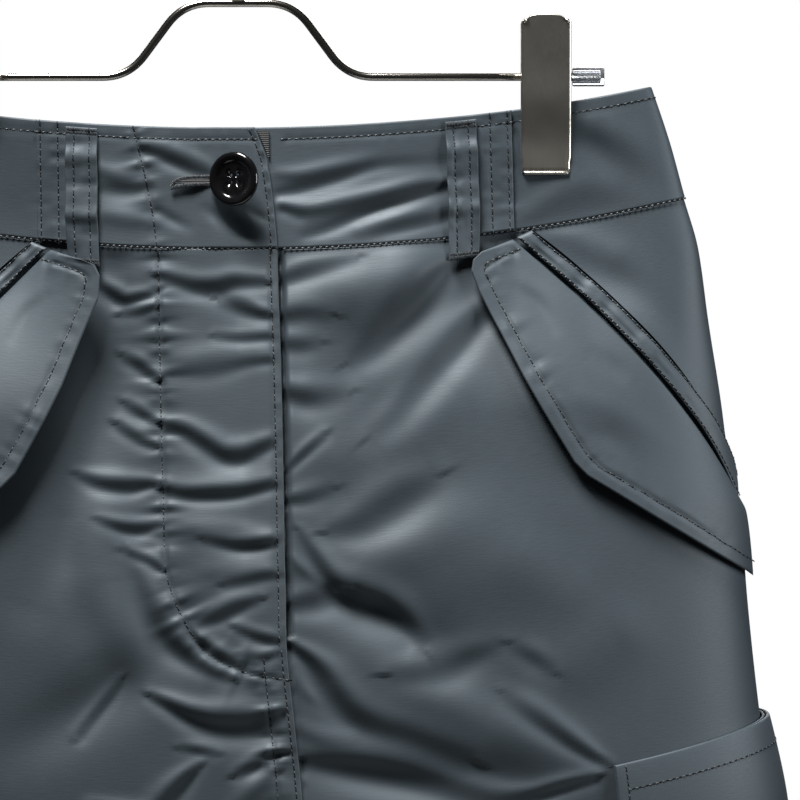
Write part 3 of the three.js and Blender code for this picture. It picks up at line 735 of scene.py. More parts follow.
def tube(name: str, path: Array, radius: float, sides: int, finish: Finish,
         flat_ends: bool = True) -> Piece:
    """A closed round rod along a path.

    Args:
        name: Name of the piece.
        path: Points of its middle, in metres.
        radius: Its radius, in metres.
        sides: Corners of its section.
        finish: Its material.
        flat_ends: Whether its ends are closed flat with a small bevel.

    Returns:
        The object.
    """
    run = np.gradient(path, axis=0)
    run /= np.linalg.norm(run, axis=1, keepdims=True)
    side = np.cross(run, [0.0, 1.0, 0.0])
    side /= np.linalg.norm(side, axis=1, keepdims=True)
    other = np.cross(run, side)
    turns = np.linspace(0, 2 * math.pi, sides, endpoint=False)
    sizes = np.full(len(path), radius)
    if flat_ends:
        bevel = 0.25 * radius
        path = np.vstack([path[0], path[0] + run[0] * bevel, path[1:-1], path[-1] - run[-1] * bevel, path[-1]])
        side = np.vstack([side[0], side, side[-1]])
        other = np.vstack([other[0], other, other[-1]])
        sizes = np.concatenate([[radius - bevel], sizes, [radius - bevel]])
    rings = (path[:, None] + sizes[:, None, None] * (np.cos(turns)[None, :, None] * side[:, None]
                                                     + np.sin(turns)[None, :, None] * other[:, None]))
    count = len(path)
    faces = []
    for i in range(count - 1):
        for j in range(sides):
            k = (j + 1) % sides
            faces.append([i * sides + j, i * sides + k, (i + 1) * sides + k, (i + 1) * sides + j])
    faces.append(list(range(sides))[::-1])
    faces.append([(count - 1) * sides + j for j in range(sides)])
    points = rings.reshape(-1, 3)
    if signed_volume(points, faces) < 0:
        faces = [f[::-1] for f in faces]
    return new_mesh(name, points, faces, finish)


def turned(profile: Pairs, sides: int) -> tuple[Array, list]:
    """A shape turned about Z.

    Args:
        profile: Radius and height of each corner; the first and last lie on the axis.
        sides: Corners of a full turn.

    Returns:
        Its points and faces, pointing outwards.
    """
    rings = profile[1:-1]
    turns = np.linspace(0, 2 * math.pi, sides, endpoint=False)
    points = [[0.0, 0.0, profile[0][1]]]
    for r, z in rings:
        points.extend([[r * math.cos(t), r * math.sin(t), z] for t in turns])
    points.append([0.0, 0.0, profile[-1][1]])
    last = len(points) - 1
    faces = []
    for j in range(sides):
        k = (j + 1) % sides
        faces.append([0, 1 + k, 1 + j])
        for i in range(len(rings) - 1):
            a, b = 1 + i * sides, 1 + (i + 1) * sides
            faces.append([a + j, a + k, b + k, b + j])
        top = 1 + (len(rings) - 1) * sides
        faces.append([last, top + j, top + k])
    found = np.array(points)
    if signed_volume(found, faces) < 0:
        faces = [f[::-1] for f in faces]
    return found, faces


def rounded(corners: Pairs, radius: float, steps: int = 3) -> list[tuple[float, float]]:
    """A profile whose inner corners are rounded.

    Args:
        corners: The profile's corners.
        radius: Usual radius of the rounding.
        steps: Points for each corner, less one.

    Returns:
        The rounded profile.
    """
    found = [corners[0]]
    for before, here, after in zip(corners, corners[1:], corners[2:]):
        a, b, c = (np.array(p, float) for p in (before, here, after))
        reach = min(radius, 0.45 * np.linalg.norm(a - b), 0.45 * np.linalg.norm(c - b))
        start = b + (a - b) / np.linalg.norm(a - b) * reach
        end = b + (c - b) / np.linalg.norm(c - b) * reach
        for t in np.linspace(0, 1, steps + 1):
            found.append(tuple((1 - t) ** 2 * start + 2 * t * (1 - t) * b + t * t * end))
    found.append(corners[-1])
    return found


# Finishes
class Value:
    """A shader value: arithmetic on it adds Math nodes to its material."""

    def __init__(self, tree: "Shading", socket: bpy.types.NodeSocket) -> None:
        """Wraps a socket of a material's tree."""
        self.tree, self.socket = tree, socket

    def _math(self, operation: str, first: "Value | float", second: "Value | float") -> "Value":
        """Adds one Math node."""
        return self.tree.node("ShaderNodeMath", {"operation": operation}, {0: first, 1: second})

    def __add__(self, other: "Value | float") -> "Value":
        """Sum of two values."""
        return self._math("ADD", self, other)

    __radd__ = __add__

    def __rsub__(self, other: float) -> "Value":
        """A number less this value."""
        return self._math("SUBTRACT", other, self)

    def __mul__(self, other: "Value | float") -> "Value":
        """Product of two values."""
        return self._math("MULTIPLY", self, other)

    __rmul__ = __mul__


class Shading:
    """A material being made: one method adds any node to it."""

    def __init__(self, name: str) -> None:
        """Starts a material with a plain surface shader.

        Args:
            name: The material's name.
        """
        self.material = bpy.data.materials.new(name)
        self.material.use_nodes = True
        self.nodes, self.links = self.material.node_tree.nodes, self.material.node_tree.links
        self.shader = self.nodes["Principled BSDF"]

    def node(self, kind: str, settings: dict | None = None, inputs: dict | None = None,
             output: int | str = 0) -> Value:
        """Adds a node.

        Args:
            kind: Type of the node.
            settings: What is set on the node itself, before its sockets.
            inputs: Values or links of its sockets.
            output: Which of its outputs is wanted.

        Returns:
            That output.
        """
        made = self.nodes.new(kind)
        for key, value in (settings or {}).items():
            if key == "ramp":
                self._set_ramp(made.color_ramp, value)
            else:
                setattr(made, key, value)
        for key, value in (inputs or {}).items():
            if isinstance(value, Value):
                self.links.new(value.socket, made.inputs[key])
            else:
                made.inputs[key].default_value = value
        return Value(self, made.outputs[output])

    def place(self) -> Value:
        """Object coordinates."""
        return self.node("ShaderNodeTexCoord", output="Object")

    def noise(self, place: Value, scale: float, detail: float = 2.0) -> Value:
        """Smooth chance from 0 to 1 over some places."""
        return self.node("ShaderNodeTexNoise", None, {"Vector": place, "Scale": scale, "Detail": detail})

    def bump(self, strength: float, distance: float, height: Value) -> Value:
        """A surface raised by a height, to a distance in metres."""
        return self.node("ShaderNodeBump", None, {"Strength": strength, "Distance": distance, "Height": height})

    @staticmethod
    def _set_ramp(ramp: bpy.types.ColorRamp, stops: Pairs) -> None:
        """Sets a ramp's two stops.

        Args:
            ramp: The ramp.
            stops: For each stop its place and its grey.
        """
        for element, (place, grey) in zip(ramp.elements, stops):
            element.position = place
            element.color = (grey, grey, grey, 1)

    def mix(self, share: Value, first: Sequence[float], second: Sequence[float]) -> Value:
        """A colour between two, given as linear red, green and blue."""
        return self.node("ShaderNodeMix", {"data_type": "RGBA"},
                         {0: share, 6: (*first, 1), 7: (*second, 1)}, output=2)

    def surface(self, **inputs: "Value | float | tuple") -> Finish:
        """Sets the surface shader's sockets.

        Args:
            inputs: Values or links by the socket's name, with _ for a space.

        Returns:
            The material.
        """
        for key, value in inputs.items():
            socket = self.shader.inputs[key.replace("_", " ")]
            if isinstance(value, Value):
                self.links.new(value.socket, socket)
            else:
                socket.default_value = value
        return self.material


@dataclass(frozen=True)
class SatinCloth:
    """Smooth grey synthetic satin: fine level slubs in the weave and a soft sheen."""

    name: str = "satin_cloth"
    light: Colour = (0.047, 0.062, 0.074)
    dark: Colour = (0.034, 0.046, 0.056)
    roughness: float = 0.55
    weave: float = 2600.0

    def make(self) -> Finish:
        """Builds the material from the cloth's own flat places.

        Returns:
            The material.
        """
        s = Shading(self.name)
        place = s.node("ShaderNodeUVMap", {"uv_map": "cloth"})
        slub_place = s.node("ShaderNodeMapping", None, {"Vector": place, "Scale": (140.0, 1500.0, 1.0)})
        slub = s.node("ShaderNodeTexNoise", {"noise_dimensions": "2D"},
                      {"Vector": slub_place, "Scale": 1.0, "Detail": 2.0, "Roughness": 0.6})
        broad = s.node("ShaderNodeTexNoise", {"noise_dimensions": "2D"},
                       {"Vector": place, "Scale": 26.0, "Detail": 2.0})
        warp = s.node("ShaderNodeTexWave", {"wave_type": "BANDS", "bands_direction": "DIAGONAL"},
                      {"Vector": place, "Scale": self.weave / 6.283, "Distortion": 0.4, "Detail": 1.0}, output=1)
        height = 0.75 * slub + 0.18 * warp
        bump = s.bump(0.16, 0.00025, height)
        rough = (self.roughness - 0.06) + 0.10 * slub + THREAD_LIFT * broad
        tint = 0.55 * broad + 0.45 * slub
        return s.surface(Base_Color=s.mix(tint, self.dark, self.light), Roughness=rough, Normal=bump,
                         Specular_IOR_Level=0.60, Specular_Tint=(0.86, 0.94, 1.0, 1), Sheen_Weight=0.04,
                         Sheen_Roughness=0.4, Sheen_Tint=(0.78, 0.87, 0.95, 1))


@dataclass(frozen=True)
class SeamThread:
    """Dark grey sewing thread with a slight twist and gloss."""

    name: str = "seam_thread"
    light: Colour = (0.046, 0.055, 0.063)
    dark: Colour = (0.010, 0.012, 0.015)

    def make(self) -> Finish:
        """Builds the material.

        Returns:
            The material.
        """
        s = Shading(self.name)
        chance = s.noise(s.place(), 900.0)
        share = s.node("ShaderNodeValToRGB", {"ramp": ((0.42, 0.0), (0.66, 1.0))}, {0: chance})
        return s.surface(Base_Color=s.mix(share, self.dark, self.light), Roughness=0.34 + 0.2 * chance,
                         Normal=s.bump(0.35, 0.0001, chance), Specular_IOR_Level=0.7)


@dataclass(frozen=True)
class NeedleHoleShade:
    """Painted shade in the small pits that the needle leaves in the cloth, laid on flat dark blobs between the
    stitches.
    """

    name: str = "needle_hole_shade"
    light: Colour = (0.010, 0.012, 0.014)
    dark: Colour = (0.004, 0.005, 0.006)

    def make(self) -> Finish:
        """Builds the material.

        Returns:
            The material.
        """
        s = Shading(self.name)
        return s.surface(Base_Color=s.mix(s.noise(s.place(), 700.0), self.dark, self.light), Roughness=0.9,
                         Specular_IOR_Level=0.1)


@dataclass(frozen=True)
class RibbedTape:
    """Black tape whose ribs run across it, with painted shade: its colour is darker in the grooves between the
    ribs and lighter on their tops.
    """

    name: str = "ribbed_tape"
    rib: float = 0.85

    def make(self) -> Finish:
        """Builds the material.

        Returns:
            The material.
        """
        s = Shading(self.name)
        ribs = s.node("ShaderNodeTexWave", {"wave_type": "BANDS", "bands_direction": "Z"},
                      {"Vector": s.place(), "Scale": math.pi / (10 * self.rib * MM), "Distortion": 0.0}, output=1)
        # painted shade: the rib height that drives the bump also darkens the colour in the grooves and lightens it
        # on the rib tops
        return s.surface(Base_Color=s.mix(ribs, (0.004, 0.004, 0.005), (0.035, 0.037, 0.041)),
                         Roughness=0.75 - 0.15 * ribs, Normal=s.bump(0.9, 0.0003, ribs))


@dataclass(frozen=True)
class GlossHorn:
    """Glossy black button material with faint clouding under a clear coat."""

    name: str = "gloss_horn"

    def make(self) -> Finish:
        """Builds the material.

        Returns:
            The material.
        """
        s = Shading(self.name)
        cloud = s.noise(s.place(), 240.0, 3.0)
        return s.surface(Base_Color=s.mix(cloud, (0.002, 0.002, 0.0025), (0.008, 0.008, 0.009)),
                         Roughness=0.10 + 0.08 * cloud, Coat_Weight=0.6, Coat_Roughness=0.04)


class Grain(Enum):
    """Which way the brushed lines of a metal run."""

    UPRIGHT = (5200.0, 5200.0, 60.0)
    ALONG = (60.0, 5200.0, 5200.0)


@dataclass(frozen=True)
class Metal:
    """Nickel, brushed or polished, slightly clouded and duller in places."""

    name: str
    light: Colour
    dark: Colour
    roughness: float
    grain: Grain
    scratch: float

    def make(self) -> Finish:
        """Builds the material.

        Returns:
            The material.
        """
        s = Shading(self.name)
        lines = s.node("ShaderNodeMapping", None, {"Vector": s.place(), "Scale": self.grain.value})
        brushed, cloud = s.noise(lines, 1.0, 3.0), s.noise(s.place(), 75.0, 3.0)
        return s.surface(Base_Color=s.mix(0.5 * cloud + 0.5 * brushed, self.dark, self.light), Metallic=1.0,
                         Roughness=self.roughness + 0.09 * brushed + 0.05 * cloud,
                         Normal=s.bump(self.scratch, 0.00006, brushed))


@dataclass(frozen=True)
class ClearPlastic:
    """Clear soft plastic, faintly hazy."""

    name: str = "clear_plastic"

    def make(self) -> Finish:
        """Builds the material.

        Returns:
            The material.
        """
        s = Shading(self.name)
        haze = s.noise(s.place(), 320.0)
        return s.surface(Base_Color=s.mix(haze, (0.82, 0.86, 0.93), (0.95, 0.97, 1.0)),
                         Roughness=0.05 + 0.08 * haze, Transmission_Weight=0.92, IOR=1.44)


@dataclass(frozen=True)
class PaleFloor:
    """Plain pale studio floor with a faint unevenness."""

    name: str = "pale_floor"

    def make(self) -> Finish:
        """Builds the material.

        Returns:
            The material.
        """
        s = Shading(self.name)
        cloud = s.noise(s.place(), 2.0, 3.0)
        return s.surface(Base_Color=s.mix(cloud, (0.66, 0.66, 0.655), (0.72, 0.72, 0.715)), Roughness=0.6)


@dataclass
class Finishes:
    """The finished materials, made once."""

    satin: Finish = field(default_factory=lambda: SatinCloth().make())
    thread: Finish = field(default_factory=lambda: SeamThread().make())
    # painted shade for the pits between the stitches
    hole_shade: Finish = field(default_factory=lambda: NeedleHoleShade().make())
    tape: Finish = field(default_factory=lambda: RibbedTape().make())
    horn: Finish = field(default_factory=lambda: GlossHorn().make())
    brushed: Finish = field(default_factory=lambda: Metal(
        "brushed_clip", (0.84, 0.80, 0.72), (0.58, 0.55, 0.49), 0.28, Grain.UPRIGHT, 0.35).make())
    wire: Finish = field(default_factory=lambda: Metal(
        "polished_wire", (0.72, 0.69, 0.63), (0.58, 0.55, 0.50), 0.10, Grain.ALONG, 0.12).make())
    clear: Finish = field(default_factory=lambda: ClearPlastic().make())
    floor: Finish = field(default_factory=lambda: PaleFloor().make())


# Stitches
@dataclass(frozen=True)
class StitchKind:
    """Size of one kind of stitch, in millimetres.

    Attributes:
        pitch: Distance from one stitch to the next.
        long: Length of a stitch that shows.
        thick: Thickness of its thread.
        slant: Degrees by which it lies across its row.
        hole_shade: Length of the flat dark blob of painted shade between two stitches, where the needle pierced
            the cloth.
    """

    pitch: float
    long: float
    thick: float
    slant: float
    hole_shade: float


class Stitch(Enum):
    """The kinds of stitches on the skirt."""

    TOP = StitchKind(2.95, 1.95, 0.68, 7.0, 1.5)
    COARSE = StitchKind(2.5, 1.95, 0.84, 14.0, 1.2)
    TACK = StitchKind(0.62, 1.7, 0.42, 78.0, 0.2)
    HOLE = StitchKind(0.6, 2.3, 0.72, 82.0, 0.2)


@dataclass
class SewnRows:
    """Rows of stitches on the skirt, made by one node tree for each kind.

    Attributes:
        finish: The thread.
        hole_shade: Material of the painted shade in the needle holes.
        rows: Each row's name of piece, kind, points and outward directions, in metres.
    """

    finish: Finish
    hole_shade: Finish
    rows: list[tuple[str, Stitch, Array, Array]] = field(default_factory=list)

    def add(self, piece: str, kind: Stitch, angle: Array, drop: Array, lift: Array | float,
            relief: Relief) -> None:
        """Adds a row that follows the cloth.

        Args:
            piece: Name of the piece of sewing that the row belongs to.
            kind: Its kind of stitch.
            angle: Degrees round the skirt, one a point.
            drop: Distance down the cloth, one a point.
            lift: Distance of the cloth's outside from the face.
            relief: The cloth's creases.
        """
        points, normal = GARMENT.layer(angle, drop, lift, relief)
        turned_normal = placed(normal) - placed(np.zeros(3))
        self.rows.append((piece, kind, placed(points), turned_normal / MM))

    def add_seen(self, piece: str, kind: Stitch, path: Pairs, lift: float | Callable[[Array, Array], Array],
                 relief: Relief, back: bool = False) -> None:
        """Adds a row given by places seen from its own side.

        Args:
            piece: Name of the piece of sewing.
            kind: Its kind of stitch.
            path: Places across and down, through which the row runs smoothly.
            lift: Distance of the cloth's outside from the face, or how it follows from across and down.
            relief: The cloth's creases.
            back: Whether it is on the back.
        """
        across, down = self.dense(np.array(path, float)).T
        angle, drop = GARMENT.seen_at(across, down)
        lift = lift(across, down) if callable(lift) else lift
        self.add(piece, kind, 180 - angle if back else angle, drop, lift, relief)

    @staticmethod
    def dense(line: Array) -> Array:
        """A smooth path through some places, with a point every millimetre or so.

        Args:
            line: The places.

        Returns:
            The close points.
        """
        if len(line) > 2:
            line = smooth_path(line, 8)
        lengths = np.concatenate([[0], np.cumsum(np.linalg.norm(np.diff(line, axis=0), axis=1))])
        at = np.linspace(0, lengths[-1], max(2, int(lengths[-1]) + 1))
        return np.stack([np.interp(at, lengths, line[:, i]) for i in range(line.shape[1])], axis=1)

    def tree(self) -> bpy.types.NodeTree:
        """The node tree that lays stitches along rows.

        Returns:
            The tree, with inputs Pitch, Long, Thick, Slant, Hole, Thread and Dark; Hole and Dark are the length
            and material of the painted shade in the needle holes.
        """
        tree = bpy.data.node_groups.new("stitch_rows", "GeometryNodeTree")
        inside = tree.interface
        inside.new_socket("Geometry", in_out="INPUT", socket_type="NodeSocketGeometry")
        for name in ("Pitch", "Long", "Thick", "Slant", "Hole"):
            inside.new_socket(name, in_out="INPUT", socket_type="NodeSocketFloat")
        for name in ("Thread", "Dark"):
            inside.new_socket(name, in_out="INPUT", socket_type="NodeSocketMaterial")
        inside.new_socket("Geometry", in_out="OUTPUT", socket_type="NodeSocketGeometry")

        def node(kind: str, inputs: dict | None = None, output: int = 0, **settings: str) -> bpy.types.NodeSocket:
            """Adds a node.

            Args:
                kind: Its type.
                inputs: Values or links by socket.
                output: Which output is wanted.
                settings: Its other settings by name.

            Returns:
                The output.
            """
            made = tree.nodes.new(kind)
            for key, value in settings.items():
                setattr(made, key, value)
            for key, value in (inputs or {}).items():
                if isinstance(value, bpy.types.NodeSocket):
                    tree.links.new(value, made.inputs[key])
                else:
                    made.inputs[key].default_value = value
            return made.outputs[output]

        given = tree.nodes.new("NodeGroupInput").outputs
        rows = node("GeometryNodeMeshToCurve", {0: given["Geometry"]})
        even = node("GeometryNodeResampleCurve", {"Curve": rows, "Length": given["Pitch"]}, mode="LENGTH")
        out = node("GeometryNodeInputNamedAttribute", {"Name": "outward"}, data_type="FLOAT_VECTOR")
        run = node("GeometryNodeInputTangent")
        stand = node("FunctionNodeAxesToRotation", {"Primary Axis": out, "Secondary Axis": run},
                     primary_axis="Z", secondary_axis="X")
        chance = node("FunctionNodeRandomValue", {2: -0.09, 3: 0.09, "Seed": 7}, 1, data_type="FLOAT")
        slant = node("ShaderNodeMath", {0: given["Slant"], 1: chance}, operation="ADD")
        turn = node("FunctionNodeAxisAngleToRotation", {"Axis": (0.0, 0.0, 1.0), "Angle": slant})
        lie = node("FunctionNodeRotateRotation", {"Rotation": stand, "Rotate By": turn}, rotation_space="LOCAL")
        ball = node("GeometryNodeMeshUVSphere", {"Segments": 6, "Rings": 4, "Radius": 0.5})
        smooth = node("GeometryNodeSetShadeSmooth", {"Geometry": ball})

        def laid(points: bpy.types.NodeSocket, long: str, flat: float, finish: str) -> bpy.types.NodeSocket:
            """Lays a ball at each point.

            Args:
                points: The points.
                long: Name of the input that gives the ball's length.
                flat: Its height as a share of the thread's thickness.
                finish: Name of the input that gives its material.

            Returns:
                The balls.
            """
            high = node("ShaderNodeMath", {0: given["Thick"], 1: flat}, operation="MULTIPLY")
            size = node("ShaderNodeCombineXYZ", {"X": given[long], "Y": given["Thick"], "Z": high})
            one = node("GeometryNodeTransform", {"Geometry": smooth, "Scale": size})
            all_of = node("GeometryNodeInstanceOnPoints", {"Points": points, "Instance": one, "Rotation": lie})
            real = node("GeometryNodeRealizeInstances", {"Geometry": all_of})
            return node("GeometryNodeSetMaterial", {"Geometry": real, "Material": given[finish]})

        # flat dark blobs half a pitch along, between the stitches: painted shade in the needle holes
        half = node("ShaderNodeMath", {0: given["Pitch"], 1: 0.5}, operation="MULTIPLY")
        step = node("ShaderNodeVectorMath", {0: run, "Scale": half}, operation="SCALE")
        between = node("GeometryNodeSetPosition", {"Geometry": even, "Offset": step})
        both = tree.nodes.new("GeometryNodeJoinGeometry")
        for part in (laid(even, "Long", 0.8, "Thread"), laid(between, "Hole", 0.42, "Dark")):
            tree.links.new(part, both.inputs[0])
        tree.links.new(both.outputs[0], tree.nodes.new("NodeGroupOutput").inputs["Geometry"])
        return tree

    def row_mesh(self, name: str, rows: list[tuple[Array, Array]]) -> Piece:
        """The rows of one kind as bare edges that know which way is out.

        Args:
            name: Name of the object.
            rows: Points and outward directions of each row.

        Returns:
            The object.
        """
        mesh = bpy.data.meshes.new(name)
        points = np.concatenate([p for p, _ in rows])
        edges, start = [], 0
        for p, _ in rows:
            edges.extend([[start + i, start + i + 1] for i in range(len(p) - 1)])
            start += len(p)
        mesh.from_pydata(points.tolist(), edges, [])
        outward = mesh.attributes.new("outward", "FLOAT_VECTOR", "POINT")
        outward.data.foreach_set("vector", np.concatenate([n for _, n in rows]).astype(np.float32).ravel())
        obj = bpy.data.objects.new(name, mesh)
        bpy.context.scene.collection.objects.link(obj)
        return obj

    def sew(self) -> list[Piece]:
        """Makes every piece of sewing.

        Returns:
            One plain mesh for each piece.
        """
        tree = self.tree()
        sockets = {item.name: item.identifier for item in tree.interface.items_tree
                   if item.item_type == "SOCKET" and item.in_out == "INPUT"}
        made = []
        for piece in sorted({row[0] for row in self.rows}):
            parts = []
            for kind in Stitch:
                rows = [(p, n) for name, k, p, n in self.rows if name == piece and k is kind]
                if not rows:
                    continue
                obj = self.row_mesh(f"{piece}.{kind.name}", rows)
                modifier = obj.modifiers.new("stitches", "NODES")
                modifier.node_group = tree
                size = kind.value
                for key, value in (("Pitch", size.pitch * MM), ("Long", size.long * MM),
                                   ("Thick", size.thick * MM), ("Slant", size.slant * DEGREE),
                                   ("Hole", size.hole_shade * MM),
                                   ("Thread", self.finish), ("Dark", self.hole_shade)):
                    modifier[sockets[key]] = value
                parts.append(obj)
            depsgraph = bpy.context.evaluated_depsgraph_get()
            meshes = [bpy.data.meshes.new_from_object(o.evaluated_get(depsgraph)) for o in parts]
            for o in parts:
                bpy.data.objects.remove(o)
            made.append(self.joined(piece, meshes))
        return made

    def joined(self, name: str, meshes: list[bpy.types.Mesh]) -> Piece:
        """Several meshes as one piece.

        Args:
            name: Name of the piece.
            meshes: What it is made of.

        Returns:
            The object, riding with the part.
        """
        # faces of the painted shade in the needle holes take the second material
        points, faces, dark, start = [], [], [], 0
        for mesh in meshes:
            used = list(mesh.materials)
            dark.extend(int(used[polygon.material_index] == self.hole_shade) for polygon in mesh.polygons)
            corners = np.zeros(len(mesh.vertices) * 3, np.float32)
            mesh.vertices.foreach_get("co", corners)
            points.append(corners.reshape(-1, 3))
            faces.extend([[start + v for v in polygon.vertices] for polygon in mesh.polygons])
            start += len(mesh.vertices)
            bpy.data.meshes.remove(mesh)
        obj = new_mesh(name, np.concatenate(points), faces, self.finish)
        obj.data.materials.append(self.hole_shade)
        obj.data.polygons.foreach_set("material_index", dark)
        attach(obj, ROOT)
        LOG.info("%s: %d stitch faces", name, len(faces))
        return obj


# Cloth of the skirt
CENTRE_EDGE = Curve(((0, -10.5), (14.6, -5.4), (43.6, -2.3), (51, -2), (126, -1.3), (212, -1.5), (252, 1.4),
                     (282, 3.7), (330, 6.5), (600, 9)))
CENTRE_LAP = 8.5
SLASH = ((51, 36.7), (91, 53.3), (131, 70.6), (163, 90))
FLY_STITCH: Points = ((-52.0, 51.4), (-52.0, 88), (-52, 124.9), (-51.7, 155), (-51.4, 181.6), (-49.4, 191.5),
                      (-46, 200.6), (-40.6, 211), (-33.6, 219.8), (-21.9, 225.9), (-12, 228.8), (-1.5, 230.5))


def slash_angle(drop: Array) -> Array:
    """Angle at which the hip pocket's opening runs."""
    return np.interp(drop, [row[0] for row in SLASH], [row[1] for row in SLASH])


def centre_row(inset: float, start: float, end: float, step: float = 8.0) -> Points:
    """Places of a row beside the folded centre edge, its inset below 0 on the image's left."""
    drops = np.linspace(start, end, max(3, int((end - start) / step)))
    return tuple((float(CENTRE_EDGE(d)) + inset, float(d)) for d in drops)


